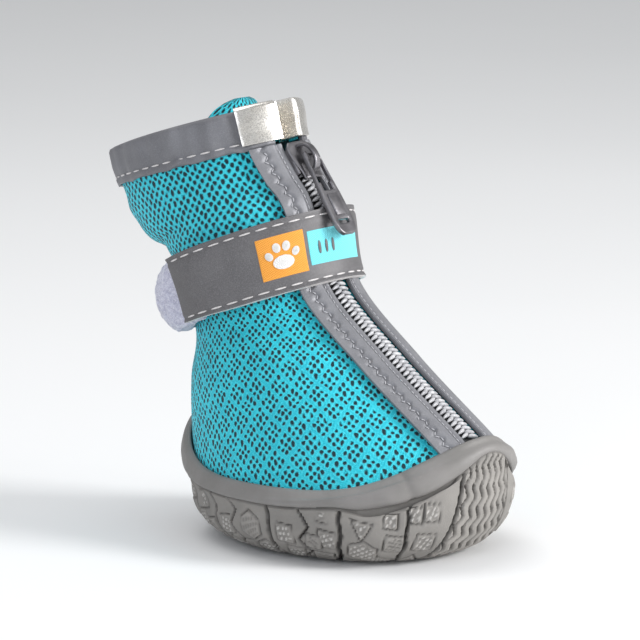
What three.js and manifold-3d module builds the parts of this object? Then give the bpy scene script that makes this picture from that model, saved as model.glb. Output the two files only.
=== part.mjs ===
// Dog boot: a rubber cup sole, a mesh upper with a front zip, and an ankle strap.
// Millimetres, +Z up. The toe points along -Y, the heel along +Y, and the boot's left side is +X.
// The origin is on the ground, on the flat of the tread under the middle of the sole.

import * as THREE from 'three';
import { mergeVertices } from 'three/addons/utils/BufferGeometryUtils.js';
import Module from 'manifold-3d';

// Driving dimensions of the last and the shaft.
const footLength = 76; // upper, toe to heel, just above the sole
const ballWidth = 54; // upper, at the widest part of the foot
const bootHeight = 92; // ground to the front of the collar
const gap = 0.3; // left between pieces that touch

// Thicknesses.
const upperWall = 2;
const rubberWall = 3; // the outsole's side
const soleFloor = 3.6; // ground to the inside of the outsole
const insoleThickness = 2;
const facingLift = 0.6; // facing's back, off the skin
const facingThickness = 0.9;
const bindingThickness = 0.7;
const clipThickness = 0.6;
const strapThickness = 1.4;
const loopThickness = 2.4;
const tongueThickness = 1.6;

// Zip.
const slotHalfWidth = 3.9;
const facingWidth = 6.2;
const teethHalfWidth = 2.1;
const teethFace = 0.9; // off the skin, as are the next two
const tapeFace = -0.7;
const tapeThickness = 0.8;
const frontSteps = 18; // sections up each strip beside the zip

// Tread.
const grooveDepth = 1.3;
const grooveWidth = 1.3;

// Rows of a table as objects with the named columns.
function sectionTable(columns, rows) {
  return rows.map((row) => Object.fromEntries(columns.map((column, index) => [column, row[index]])));
}

// Sections of the last, from the lasting edge inside the cup up to the collar. Each section is a
// closed curve through a point on the toe side and a point on the heel side of the centre plane. The
// columns are shares: frontY and backY of footLength; frontZ, backZ and dip of bootHeight; halfWidth
// of ballWidth. dip is how far the sides hang below the line from front to back, and egg makes the
// heel half narrower (negative) or wider (positive).
const lastSections = sectionTable(
  ['name', 'frontY', 'frontZ', 'backY', 'backZ', 'halfWidth', 'dip', 'egg'],
  [
    ['lasting edge', -0.388, 0.103, 0.395, 0.100, 0.398, 0.049, -0.08],
    ['sole rim', -0.464, 0.228, 0.468, 0.174, 0.485, 0.082, -0.08],
    ['rand top', -0.446, 0.272, 0.509, 0.266, 0.481, 0.105, -0.07],
    ['vamp', -0.175, 0.435, 0.512, 0.370, 0.393, 0.040, 0.00],
    ['strap bottom', 0.043, 0.592, 0.499, 0.457, 0.312, 0.000, 0.03],
    ['strap top', 0.101, 0.770, 0.580, 0.609, 0.325, 0.000, 0.02],
    ['shaft', 0.160, 0.842, 0.714, 0.668, 0.302, 0.000, 0.01],
    ['collar bottom', 0.218, 0.913, 0.800, 0.772, 0.290, 0.000, 0.00],
    ['collar top', 0.247, 0.995, 0.828, 0.846, 0.305, 0.000, 0.00],
  ],
);

const toeCurve = new THREE.CatmullRomCurve3(
  lastSections.map((row) => new THREE.Vector3(row.egg, row.frontY * footLength, row.frontZ * bootHeight)),
  false,
  'catmullrom',
);
const heelCurve = new THREE.CatmullRomCurve3(
  lastSections.map(
    (row) => new THREE.Vector3(row.dip * bootHeight, row.backY * footLength, row.backZ * bootHeight),
  ),
  false,
  'catmullrom',
);
const widthCurve = new THREE.CatmullRomCurve3(
  lastSections.map((row) => new THREE.Vector3(row.halfWidth * ballWidth, 0, 0)),
  false,
  'catmullrom',
);

// The height of a named section as a share of the way up the table; step moves on towards the next section.
function level(name, step = 0) {
  const row = lastSections.findIndex((section) => section.name === name);
  return (row + step) / (lastSections.length - 1);
}

// A point of the upper's outer skin. angle is 0 at the toe, a quarter turn at the left side and half
// a turn at the heel.
function skinPoint(height, angle) {
  const toe = toeCurve.getPoint(height);
  const heel = heelCurve.getPoint(height);
  const halfWidth = widthCurve.getPoint(height).x;
  const along = (1 - Math.cos(angle)) / 2;
  const sideDip = heel.x * (1 - Math.cos(angle) ** 4);
  return new THREE.Vector3(
    halfWidth * Math.sin(angle) * (1 - toe.x * Math.cos(angle)),
    toe.y + (heel.y - toe.y) * along,
    toe.z + (heel.z - toe.z) * along - sideDip,
  );
}

// The same point moved outwards along the skin's normal by proud, and up the shaft by rise.
function last(height, angle, proud = 0, rise = 0) {
  const small = 0.002;
  const low = Math.max(height - small, 0);
  const high = Math.min(height + small, 1);
  const up = skinPoint(high, angle).sub(skinPoint(low, angle)).normalize();
  const around = skinPoint(height, angle + small).sub(skinPoint(height, angle - small)).normalize();
  const outward = around.cross(up).normalize();
  return skinPoint(height, angle).addScaledVector(outward, proud).addScaledVector(up, rise);
}

// The angle at which a section is across mm to the side of the centre plane, at the front.
function frontAngle(height, across) {
  const frontHalfWidth = widthCurve.getPoint(height).x * (1 - toeCurve.getPoint(height).x);
  return Math.asin(across / frontHalfWidth);
}

// Evenly spaced numbers from start to end, both included.
function steps(start, end, count) {
  return Array.from({ length: count + 1 }, (_, index) => start + ((end - start) * index) / count);
}

// One full ring of points at steps of angle.
function ring(count, pointAt) {
  return Array.from({ length: count }, (_, index) => pointAt((index / count) * 2 * Math.PI));
}

// Triangles that fill a closed loop of points, found in the loop's own plane.
function loopTriangles(loop) {
  const normal = new THREE.Vector3();
  for (let index = 0; index < loop.length; index++) {
    normal.add(new THREE.Vector3().crossVectors(loop[index], loop[(index + 1) % loop.length]));
  }
  normal.normalize();
  const sideways = new THREE.Vector3(0, 0, 1).cross(normal);
  if (sideways.length() < 0.1) sideways.set(1, 0, 0);
  sideways.normalize();
  const upwards = new THREE.Vector3().crossVectors(normal, sideways);
  const flat = loop.map((point) => new THREE.Vector2(point.dot(sideways), point.dot(upwards)));
  return THREE.ShapeUtils.triangulateShape(flat, []);
}

// A closed solid through a list of loops with the same number of points. The first and last loops are
// filled, or, for a form that runs back into itself, joined to each other.
function loft(loops, joined = false) {
  const count = loops[0].length;
  const positions = loops.flat().flatMap((point) => [point.x, point.y, point.z]);
  const faces = [];
  const lastBand = joined ? loops.length : loops.length - 1;
  for (let band = 0; band < lastBand; band++) {
    const here = band * count;
    const next = ((band + 1) % loops.length) * count;
    for (let index = 0; index < count; index++) {
      const following = (index + 1) % count;
      faces.push(here + index, here + following, next + following);
      faces.push(here + index, next + following, next + index);
    }
  }
  if (!joined) {
    const end = (loops.length - 1) * count;
    for (const [a, b, c] of loopTriangles(loops[0])) faces.push(c, b, a);
    const farEnd = loopTriangles(loops[loops.length - 1]);
    for (const [a, b, c] of farEnd) faces.push(end + a, end + b, end + c);
  }
  const geometry = new THREE.BufferGeometry();
  geometry.setAttribute('position', new THREE.Float32BufferAttribute(positions, 3));
  geometry.setIndex(faces);
  return signedVolume(geometry) < 0 ? turnedOut(geometry) : geometry;
}

// The volume of a closed geometry, negative when its faces point in.
function signedVolume(geometry) {
  const position = geometry.getAttribute('position');
  const index = geometry.getIndex();
  const corner = [new THREE.Vector3(), new THREE.Vector3(), new THREE.Vector3()];
  let volume = 0;
  for (let face = 0; face < index.count; face += 3) {
    corner.forEach((point, side) => point.fromBufferAttribute(position, index.getX(face + side)));
    volume += corner[0].dot(corner[1].clone().cross(corner[2])) / 6;
  }
  return volume;
}

// The same geometry with each face turned over.
function turnedOut(geometry) {
  const index = Array.from(geometry.getIndex().array);
  for (let face = 0; face < index.length; face += 3) {
    [index[face + 1], index[face + 2]] = [index[face + 2], index[face + 1]];
  }
  geometry.setIndex(index);
  return geometry;
}

// A flat strip as a closed loop of points: out along its face from the start edge to the end edge, and
// back underneath.
function stripSection(places, faceAt, backAt) {
  return [...places.map(faceAt), ...[...places].reverse().map(backAt)];
}

const wasm = await Module();
wasm.setup();

// A manifold-3d solid from a three.js geometry.
function toSolid(geometry) {
  const bare = geometry.clone();
  bare.deleteAttribute('normal');
  bare.deleteAttribute('uv');
  const merged = mergeVertices(bare, 1e-4);
  const vertProperties = new Float32Array(merged.getAttribute('position').array);
  const triVerts = new Uint32Array(merged.getIndex().array);
  return new wasm.Manifold(new wasm.Mesh({ numProp: 3, vertProperties, triVerts }));
}

// A three.js geometry from a manifold-3d solid.
function toGeometry(solid) {
  const mesh = solid.getMesh();
  const geometry = new THREE.BufferGeometry();
  geometry.setAttribute('position', new THREE.Float32BufferAttribute(mesh.vertProperties, 3));
  geometry.setIndex(Array.from(mesh.triVerts));
  return geometry;
}

// Finishes: one material for each.
const finishes = {
  rubber: { color: 0x8c8782, roughness: 0.75, metalness: 0 },
  rand: { color: 0x86827e, roughness: 0.6, metalness: 0 },
  mesh: { color: 0x35bfcd, roughness: 0.85, metalness: 0 },
  reflective: { color: 0x737376, roughness: 0.55, metalness: 0 },
  facing: { color: 0xa8a8ac, roughness: 0.55, metalness: 0 },
  foam: { color: 0x3a3d40, roughness: 0.9, metalness: 0 },
  tape: { color: 0x2c2f33, roughness: 0.9, metalness: 0 },
  coil: { color: 0xb4b4b6, roughness: 0.4, metalness: 0 },
  nickel: { color: 0xd8d4cc, roughness: 0.2, metalness: 1 },
  gunmetal: { color: 0x6e696e, roughness: 0.35, metalness: 1 },
  loop: { color: 0xc8c8dc, roughness: 0.95, metalness: 0 },
};

function piece(name, geometry, finish) {
  const mesh = new THREE.Mesh(geometry, new THREE.MeshStandardMaterial(finishes[finish]));
  mesh.name = name;
  return mesh;
}

// Upper: one shell from the lasting edge to the collar, with the zip's slot cut out of its front.
const around = 48;

function upperGeometry() {
  const heights = steps(0, 1, 16);
  const outside = heights.map((height) => ring(around, (angle) => last(height, angle)));
  const inside = heights.map((height) => ring(around, (angle) => last(height, angle, -upperWall)));
  const shell = toSolid(loft([...outside, ...inside.reverse()], true));
  return toGeometry(shell.subtract(toSolid(slotCutter())));
}

// The slot's side view follows the front of the last, from the toe to above the collar.
function slotCutter() {
  const heights = steps(level('rand top', 0.2), 1, 14);
  const reach = 3;
  const sideView = (point) => new THREE.Vector2(point.y, point.z);
  const outer = heights.map((height) => sideView(last(height, 0, reach)));
  const inner = heights.map((height) => sideView(last(height, 0, -upperWall - reach))).reverse();
  const aboveOuter = sideView(last(1, 0, reach, reach));
  const aboveInner = sideView(last(1, 0, -upperWall - reach, reach));
  const shape = new THREE.Shape([...outer, aboveOuter, aboveInner, ...inner]);
  const cutter = new THREE.ExtrudeGeometry(shape, { depth: 2 * slotHalfWidth, bevelEnabled: false });
  // The shape's axes become Y and Z, and its thickness runs across the boot.
  const toSideView = new THREE.Matrix4().set(0, 0, 1, -slotHalfWidth, 1, 0, 0, 0, 0, 1, 0, 0, 0, 0, 0, 1);
  return cutter.applyMatrix4(toSideView);
}

// Outsole: a bowl that hugs the last, with a flat tread and an edge that turns up most at toe and heel.
const rim = level('sole rim');
const flatShare = 0.62;

// A point on the outside of the bowl. turn is 0 at the rim and 1 where the flat tread starts.
function bowlPoint(angle, turn) {
  const edge = last(rim, angle, gap + rubberWall);
  const quarter = (turn * Math.PI) / 2;
  const spread = flatShare + (1 - flatShare) * Math.cos(quarter) ** 0.85;
  return new THREE.Vector3(edge.x * spread, edge.y * spread, edge.z * (1 - Math.sin(quarter) ** 0.92));
}

function scaledRing(points, scale, z) {
  return points.map((point) => new THREE.Vector3(point.x * scale, point.y * scale, z));
}

function outsoleGeometry() {
  const flatEdge = ring(around, (angle) => bowlPoint(angle, 1));
  const outside = steps(1, 0, 7).map((turn) => ring(around, (angle) => bowlPoint(angle, turn)));
  const inside = steps(rim, 0, 3).map((height) => ring(around, (angle) => last(height, angle, gap)));
  const lastingEdge = inside[inside.length - 1];
  const floor = [0.86, 0.5].map((scale) => scaledRing(lastingEdge, scale, soleFloor));
  const bowl = toSolid(loft([scaledRing(flatEdge, 0.5, 0), ...outside, ...inside, ...floor]));
  return toGeometry(treadGrooves().reduce((solid, groove) => solid.subtract(toSolid(groove)), bowl));
}

// The main lugs are parted by an oval groove, by grooves that fan out from it, and by one across the
// flex line.
const medallion = { halfLength: 15, halfWidth: 15.5, centreY: -2.5 };
const fanStart = 17.5;
const fanLength = 12;

function ovalPath(halfWidth, halfLength) {
  const path = new THREE.Path();
  path.absellipse(0, medallion.centreY, halfWidth, halfLength, 0, 2 * Math.PI);
  return path;
}

function flatCut(shape) {
  const cut = new THREE.ExtrudeGeometry(shape, {
    depth: 1 + grooveDepth,
    bevelEnabled: false,
    curveSegments: 20,
  });
  return cut.translate(0, 0, -1);
}

function straightCut(length, width, x, y, turn) {
  const cut = new THREE.BoxGeometry(length, width, 1 + grooveDepth);
  return cut.rotateZ(turn).translate(x, y, (grooveDepth - 1) / 2);
}

function treadGrooves() {
  const half = grooveWidth / 2;
  const outline = ovalPath(medallion.halfWidth + half, medallion.halfLength + half);
  const oval = new THREE.Shape(outline.getPoints(20));
  oval.holes.push(ovalPath(medallion.halfWidth - half, medallion.halfLength - half));
  const flexLength = 2 * medallion.halfWidth - 2 * grooveWidth;
  const flexLine = straightCut(flexLength, grooveWidth, 0, medallion.centreY, 0);
  const fan = [40, 140, 220, 320].map((degrees) => {
    const turn = THREE.MathUtils.degToRad(degrees);
    const middle = fanStart + fanLength / 2;
    const x = middle * Math.cos(turn);
    const y = medallion.centreY + middle * Math.sin(turn);
    return straightCut(fanLength, grooveWidth, x, y, turn);
  });
  return [flatCut(oval), flexLine, ...fan];
}

// Insole: a shallow dished board on the sole's floor, up to the inside of the upper.
function insoleGeometry() {
  const lowest = soleFloor + gap;
  const edge = (height) => ring(around, (angle) => last(height, angle, -upperWall - gap));
  const lastingEdge = ring(around, (angle) => last(0, angle, -upperWall - gap));
  return loft([
    scaledRing(lastingEdge, 0.45, lowest),
    scaledRing(lastingEdge, 0.88, lowest),
    edge(level('lasting edge', 0.12)),
    edge(level('lasting edge', 0.3)),
    scaledRing(lastingEdge, 0.8, lowest + insoleThickness),
    scaledRing(lastingEdge, 0.45, lowest + insoleThickness),
  ]);
}

// Rand: a band over the joint between sole and upper, rounded along its top.
function randGeometry() {
  const base = level('sole rim', 0.07);
  const top = level('rand top');
  const fullness = [
    { rise: 0.0, proud: gap },
    { rise: 0.0, proud: 2.6 },
    { rise: 0.5, proud: 2.3 },
    { rise: 0.85, proud: 1.7 },
    { rise: 1.0, proud: 1.0 },
    { rise: 1.0, proud: gap },
    { rise: 0.5, proud: gap },
  ];
  return loft(
    fullness.map((row) => ring(around, (angle) => last(base + (top - base) * row.rise, angle, row.proud))),
    true,
  );
}

// A strip that runs up the front beside the centre plane, between two distances from it and two heights
// off the skin.
function frontStrip(fromHeight, toHeight, across, proudFace, proudBack, count) {
  return loft(
    steps(fromHeight, toHeight, count).map((height) => {
      const angles = across.map((distance) => frontAngle(height, distance));
      return stripSection(
        angles,
        (angle) => last(height, angle, proudFace),
        (angle) => last(height, angle, proudBack),
      );
    }),
  );
}

function facingGeometry(side) {
  const inner = slotHalfWidth - 0.5;
  const across = steps(inner, inner + facingWidth, 3).map((distance) => distance * side);
  const bottom = level('rand top', 0.1);
  const top = level('collar bottom', -0.08);
  return frontStrip(bottom, top, across, facingLift + facingThickness, facingLift, frontSteps);
}

function tapeGeometry() {
  const across = steps(gap - slotHalfWidth, slotHalfWidth - gap, 4);
  const bottom = level('rand top', 0.26);
  const top = level('collar bottom', -0.2);
  return frontStrip(bottom, top, across, tapeFace, tapeFace - tapeThickness, frontSteps);
}

function teethGeometry() {
  const across = steps(-teethHalfWidth, teethHalfWidth, 2);
  const bottom = level('rand top', 0.28);
  const top = level('collar bottom', -0.24);
  return frontStrip(bottom, top, across, teethFace, tapeFace + gap, frontSteps);
}

// Tongue: a gusset behind the zip. fall is how far it leans back into the shaft from the upper's inner
// face, and rise carries its rounded top above the collar.
const tongueInset = upperWall + 0.4;
const tongueSections = sectionTable(
  ['height', 'fall', 'halfWidth', 'rise'],
  [
    [level('rand top', 0.35), 0, 9.0, 0],
    [level('vamp'), 0, 11.5, 0],
    [level('strap bottom'), 0, 12.0, 0],
    [level('strap top'), 1.0, 12.0, 0],
    [level('collar bottom'), 3.6, 11.5, 0],
    [1, 6.0, 11.5, -2.0],
    [1, 6.8, 11.5, 1.5],
    [1, 7.4, 9.5, 4.6],
    [1, 7.7, 5.0, 6.2],
  ],
);

function tongueGeometry() {
  const sideways = steps(-1, 1, 8);
  const rows = tongueSections.map(
    (row) => new THREE.Vector4(row.height, row.fall, row.halfWidth, row.rise),
  );
  const between = rows.slice(1).flatMap((row, index) => {
    return [rows[index], rows[index].clone().lerp(row, 0.5)];
  });
  return loft(
    [...between, rows[rows.length - 1]].map((row) => {
      const toHeel = skinPoint(row.x, Math.PI).sub(skinPoint(row.x, 0)).normalize();
      const leant = (angle, inset) => last(row.x, angle, -inset, row.w).addScaledVector(toHeel, row.y);
      return stripSection(
        sideways.map((share) => frontAngle(row.x, share * row.z)),
        (angle) => leant(angle, tongueInset),
        (angle) => leant(angle, tongueInset + tongueThickness),
      );
    }),
  );
}

// Collar binding: folded over the collar's edge, from one side of the slot round the back to the other.
const bindingOuter = gap + bindingThickness;
const bindingInner = -upperWall - gap - bindingThickness;
const bindingProfile = [
  { height: level('collar bottom', 0.02), rise: 0, proud: gap },
  { height: level('collar bottom', 0.02), rise: 0, proud: bindingOuter },
  { height: level('collar bottom', 0.5), rise: 0, proud: bindingOuter },
  { height: 1, rise: 0, proud: bindingOuter },
  { height: 1, rise: bindingOuter, proud: -0.4 },
  { height: 1, rise: bindingOuter, proud: -upperWall + 0.4 },
  { height: 1, rise: 0, proud: bindingInner },
  { height: level('collar bottom', 0.5), rise: 0, proud: bindingInner },
  { height: level('collar bottom', 0.25), rise: 0, proud: bindingInner },
  { height: level('collar bottom', 0.25), rise: 0, proud: -upperWall - gap },
  { height: level('collar bottom', 0.5), rise: 0, proud: -upperWall - gap },
  { height: 1, rise: gap, proud: -upperWall - gap },
  { height: 1, rise: gap, proud: gap },
  { height: level('collar bottom', 0.5), rise: 0, proud: gap },
];

function bindingGeometry() {
  const start = frontAngle(1, slotHalfWidth + gap);
  const wholeRing = steps(0, 2 * Math.PI, around);
  const end = 2 * Math.PI - start;
  const inside = wholeRing.filter((angle) => angle > start + 0.05 && angle < end - 0.05);
  return loft(
    [start, ...inside, end].map((angle) =>
      bindingProfile.map((row) => last(row.height, angle, row.proud, row.rise)),
    ),
  );
}

// Clips: a bent metal strip over each end of the binding.
const clipFrom = 2.9;
const clipTo = 10;

function clipGeometry(side) {
  const foot = level('collar bottom', 0.14);
  const outerFace = bindingOuter + gap;
  const innerFace = bindingInner - gap;
  const roof = bindingOuter + gap;
  const bend = 0.8;
  const across = steps(clipFrom, clipTo, 4).map((distance) => frontAngle(1, distance) * side);
  return loft(
    across.map((angle) => [
      last(foot, angle, outerFace),
      last(foot, angle, outerFace + clipThickness),
      last(1, angle, outerFace + clipThickness, roof - bend),
      last(1, angle, outerFace + clipThickness - bend, roof + clipThickness),
      last(1, angle, innerFace - clipThickness + bend, roof + clipThickness),
      last(1, angle, innerFace - clipThickness, roof - bend),
      last(foot, angle, innerFace - clipThickness),
      last(foot, angle, innerFace),
      last(1, angle, innerFace, roof - bend),
      last(1, angle, innerFace + bend, roof),
      last(1, angle, outerFace - bend, roof),
      last(1, angle, outerFace, roof - bend),
    ]),
  );
}

// Strap: over the zip and the instep, ending on the right side of the heel.
const strapFrom = THREE.MathUtils.degToRad(-112);
const strapTo = THREE.MathUtils.degToRad(152);
const strapLow = level('strap bottom', 0.03);
const strapHigh = level('strap top', -0.03);
const strapSeat = facingLift + facingThickness + gap;
const strapLift = 1.6; // more, where its right end lies on the hook-and-loop band

function bandSection(angle, proud, thickness) {
  return stripSection(
    steps(strapLow, strapHigh, 3),
    (height) => last(height, angle, proud + thickness),
    (height) => last(height, angle, proud),
  );
}

// The strap rises off the skin near its right end, where it lies on the hook-and-loop band.
function strapGeometry() {
  const rampLength = THREE.MathUtils.degToRad(40);
  return loft(
    steps(strapFrom, strapTo, 34).map((angle) => {
      const share = THREE.MathUtils.clamp((angle - strapFrom) / rampLength, 0, 1);
      const lift = strapLift * (1 - THREE.MathUtils.smoothstep(share, 0.3, 1));
      return bandSection(angle, strapSeat + lift, strapThickness);
    }),
  );
}

// Hook-and-loop band: from under the strap's right end round the back of the heel to its left end.
function loopBandGeometry() {
  const start = strapTo + THREE.MathUtils.degToRad(2);
  const end = strapFrom + 2 * Math.PI + THREE.MathUtils.degToRad(9);
  return loft(
    steps(start, end, 16).map((angle) => {
      const share = (angle - start) / (end - start);
      const under = THREE.MathUtils.smoothstep(share, 0.72, 0.9);
      const thinned = strapSeat + strapLift - 2 * gap;
      const thickness = loopThickness + (thinned - loopThickness) * under;
      return bandSection(angle, gap, thickness);
    }),
  );
}

// Slider and pull stand on the zip's front line, in a frame with X across, Y up the zip and Z off the skin.
const sliderHeight = level('shaft', 0.34);
const sliderLength = 9;
const sliderHalfWidth = 3.7;
const plateFace = 2.2;
const eyeHeight = 3.9;
const eyeRadius = 0.9;
const barRadius = 0.55;
const crownHalfWidth = 0.9;
const pullLength = 20;
const pullThickness = 1.1;

function zipFrame() {
  const here = last(sliderHeight, 0);
  const up = last(sliderHeight + 0.01, 0).sub(last(sliderHeight - 0.01, 0)).normalize();
  const across = new THREE.Vector3(1, 0, 0);
  const outward = across.clone().cross(up);
  return new THREE.Matrix4().makeBasis(across, up, outward).setPosition(here);
}

function sliderGeometry() {
  const plateBack = 1.2;
  const plate = new THREE.Shape();
  plate.moveTo(-sliderHalfWidth + 0.9, -sliderLength / 2);
  plate.lineTo(sliderHalfWidth - 0.9, -sliderLength / 2);
  plate.lineTo(sliderHalfWidth, sliderLength / 2 - 3);
  plate.quadraticCurveTo(sliderHalfWidth, sliderLength / 2, sliderHalfWidth - 2, sliderLength / 2);
  plate.lineTo(2 - sliderHalfWidth, sliderLength / 2);
  plate.quadraticCurveTo(-sliderHalfWidth, sliderLength / 2, -sliderHalfWidth, sliderLength / 2 - 3);
  const plateBody = new THREE.ExtrudeGeometry(plate, {
    depth: plateFace - plateBack,
    bevelEnabled: false,
    curveSegments: 4,
  });
  plateBody.translate(0, 0, plateBack);
  // The crown is an arch with an eye in it for the pull's bar.
  const crown = new THREE.Shape();
  crown.moveTo(-3.2, plateFace - 0.2);
  crown.lineTo(3.4, plateFace - 0.2);
  crown.quadraticCurveTo(3.2, eyeHeight + 1.6, 0, eyeHeight + 1.6);
  crown.quadraticCurveTo(-2.6, eyeHeight + 1.4, -3.2, plateFace - 0.2);
  const eye = new THREE.Path();
  eye.absarc(0, eyeHeight, eyeRadius, 0, 2 * Math.PI);
  crown.holes.push(eye);
  const crownBody = new THREE.ExtrudeGeometry(crown, {
    depth: 2 * crownHalfWidth,
    bevelEnabled: false,
    curveSegments: 5,
  });
  crownBody.applyMatrix4(
    new THREE.Matrix4().set(0, 0, 1, -crownHalfWidth, 1, 0, 0, 0, 0, 1, 0, 0, 0, 0, 0, 1),
  );
  return toGeometry(toSolid(plateBody).add(toSolid(crownBody))).applyMatrix4(zipFrame());
}

// Pull: an A-shaped frame below its bar, turned down from the eye so that it lies just off the strap.
const pullTurn = THREE.MathUtils.degToRad(3);

function pullGeometry() {
  const outline = new THREE.Shape();
  outline.moveTo(2.3, 0.9);
  outline.lineTo(-2.3, 0.9);
  outline.lineTo(-3.1, -pullLength + 4);
  outline.quadraticCurveTo(-3.1, -pullLength + 0.8, 0, -pullLength + 0.8);
  outline.quadraticCurveTo(3.1, -pullLength + 0.8, 3.1, -pullLength + 4);
  const window = new THREE.Path();
  window.moveTo(-1.3, -0.6);
  window.lineTo(1.3, -0.6);
  window.lineTo(1.6, -7.4);
  window.lineTo(-1.6, -7.4);
  outline.holes.push(window);
  const slot = new THREE.Path();
  slot.moveTo(-1.1, -pullLength + 4.4);
  slot.lineTo(1.1, -pullLength + 4.4);
  slot.lineTo(1.1, -pullLength + 3.2);
  slot.lineTo(-1.1, -pullLength + 3.2);
  outline.holes.push(slot);
  const plate = new THREE.ExtrudeGeometry(outline, {
    depth: pullThickness,
    bevelEnabled: false,
    curveSegments: 5,
  });
  plate.translate(0, 0, -pullThickness / 2);
  const barCut = new THREE.BoxGeometry(2.6, 3, 3);
  const bar = new THREE.CylinderGeometry(barRadius, barRadius, 3.6, 10).rotateZ(Math.PI / 2);
  const solid = toSolid(plate).subtract(toSolid(barCut)).add(toSolid(bar));
  const place = zipFrame()
    .multiply(new THREE.Matrix4().makeTranslation(0, 0, eyeHeight))
    .multiply(new THREE.Matrix4().makeRotationX(pullTurn));
  return toGeometry(solid).applyMatrix4(place);
}

const boot = new THREE.Group();
boot.add(
  piece('outsole', outsoleGeometry(), 'rubber'),
  piece('rand', randGeometry(), 'rand'),
  piece('insole', insoleGeometry(), 'foam'),
  piece('upper', upperGeometry(), 'mesh'),
  piece('tongue', tongueGeometry(), 'mesh'),
  piece('collar_binding', bindingGeometry(), 'reflective'),
  piece('zip_facing_left', facingGeometry(1), 'facing'),
  piece('zip_facing_right', facingGeometry(-1), 'facing'),
  piece('zip_tape', tapeGeometry(), 'tape'),
  piece('zip_teeth', teethGeometry(), 'coil'),
  piece('zip_slider', sliderGeometry(), 'gunmetal'),
  piece('zip_pull', pullGeometry(), 'gunmetal'),
  piece('clip_left', clipGeometry(1), 'nickel'),
  piece('clip_right', clipGeometry(-1), 'nickel'),
  piece('strap', strapGeometry(), 'reflective'),
  piece('strap_loop_band', loopBandGeometry(), 'loop'),
);

export default boot;
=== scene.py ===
# %% [markdown]
# # A small dog boot
# The boot is a rubber cup sole, a mesh upper with a front zip, and a strap round the ankle. Almost
# every piece hugs one curved body, the last. So the last comes first, as one function of height and
# angle, and each cloth piece starts as a flat grid that is then wrapped round it, as in sewing.

# %% Setup
import math

import bpy
import numpy as np
from mathutils import Matrix, Vector


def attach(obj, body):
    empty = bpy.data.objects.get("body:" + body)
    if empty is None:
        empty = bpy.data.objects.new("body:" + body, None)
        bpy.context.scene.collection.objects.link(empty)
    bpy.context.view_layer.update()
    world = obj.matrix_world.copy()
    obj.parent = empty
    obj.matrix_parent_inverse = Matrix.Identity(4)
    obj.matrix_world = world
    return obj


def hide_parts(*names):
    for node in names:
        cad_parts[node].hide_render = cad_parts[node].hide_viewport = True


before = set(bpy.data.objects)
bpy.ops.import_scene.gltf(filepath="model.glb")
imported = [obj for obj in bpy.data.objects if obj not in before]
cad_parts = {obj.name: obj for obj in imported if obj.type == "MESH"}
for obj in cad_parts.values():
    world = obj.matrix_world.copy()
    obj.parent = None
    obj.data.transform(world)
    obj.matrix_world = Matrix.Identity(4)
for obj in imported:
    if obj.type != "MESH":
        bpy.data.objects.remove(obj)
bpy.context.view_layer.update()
scene = bpy.context.scene
MM = 0.001

# %% [markdown]
# ## Camera
# A long lens from one metre keeps the perspective calm, as when small goods are shown for sale. The
# camera stands off the toe, on the boot's right, a little above the strap. It could look at the
# boot from any side: a direction and a target place it, so that it always aims at the middle.

# %% Camera
TARGET = Vector((0.0, 0.008, 0.0465))
AZIMUTH = math.radians(-50)
ELEVATION = math.radians(10)
LENS = 262  # mm; the boot's height then fills most of the frame from a metre away

bpy.ops.object.camera_add()
camera = bpy.context.object
camera.name = "camera"
camera.data.lens = LENS
camera.data.clip_start = 0.05
back = Vector((
    math.sin(AZIMUTH) * math.cos(ELEVATION),
    -math.cos(AZIMUTH) * math.cos(ELEVATION),
    math.sin(ELEVATION),
))
camera.location = TARGET + back
camera.rotation_euler = (-back).to_track_quat("-Z", "Y").to_euler()
scene.camera = camera
print("camera at", [round(v, 3) for v in camera.location])

# %% [markdown]
# ## The last
# A shoe is built round a last. Here it is a stack of closed sections. The table gives, for each
# section, where it crosses the centre plane at the toe and at the heel, and how wide it is. A
# smooth curve through each column gives the sections between. Sizes in this script are in
# millimetres until a mesh is filled, and the toe points along -Y.

# %% The last's sections
FOOT_LENGTH = 76
BALL_WIDTH = 54
BOOT_HEIGHT = 92
SECTIONS = {
    # name: front y, front z, back y, back z, half width, dip of the sides, egg
    "lasting edge": (-0.388, 0.103, 0.395, 0.100, 0.398, 0.049, -0.08),
    "sole rim": (-0.464, 0.228, 0.468, 0.174, 0.485, 0.082, -0.08),
    "rand top": (-0.446, 0.272, 0.509, 0.266, 0.481, 0.105, -0.07),
    "vamp": (-0.175, 0.435, 0.512, 0.370, 0.393, 0.040, 0.00),
    "strap bottom": (0.043, 0.592, 0.499, 0.457, 0.312, 0.000, 0.03),
    "strap top": (0.101, 0.770, 0.580, 0.609, 0.325, 0.000, 0.02),
    "shaft": (0.160, 0.842, 0.714, 0.668, 0.302, 0.000, 0.01),
    "collar bottom": (0.218, 0.913, 0.800, 0.772, 0.290, 0.000, 0.00),
    "collar top": (0.247, 0.995, 0.828, 0.846, 0.305, 0.000, 0.00),
}
NAMES = list(SECTIONS)
FRONT_Y, FRONT_Z, BACK_Y, BACK_Z, HALF_WIDTH, DIP, EGG = (
    np.array(column) * unit
    for column, unit in zip(
        zip(*SECTIONS.values()),
        (FOOT_LENGTH, BOOT_HEIGHT, FOOT_LENGTH, BOOT_HEIGHT, BALL_WIDTH, BOOT_HEIGHT, 1),
    )
)


def level(name, step=0.0):
    """The height of a named section, from 0 to 1 up the table; step goes on towards the next."""
    return (NAMES.index(name) + step) / (len(NAMES) - 1)


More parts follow.
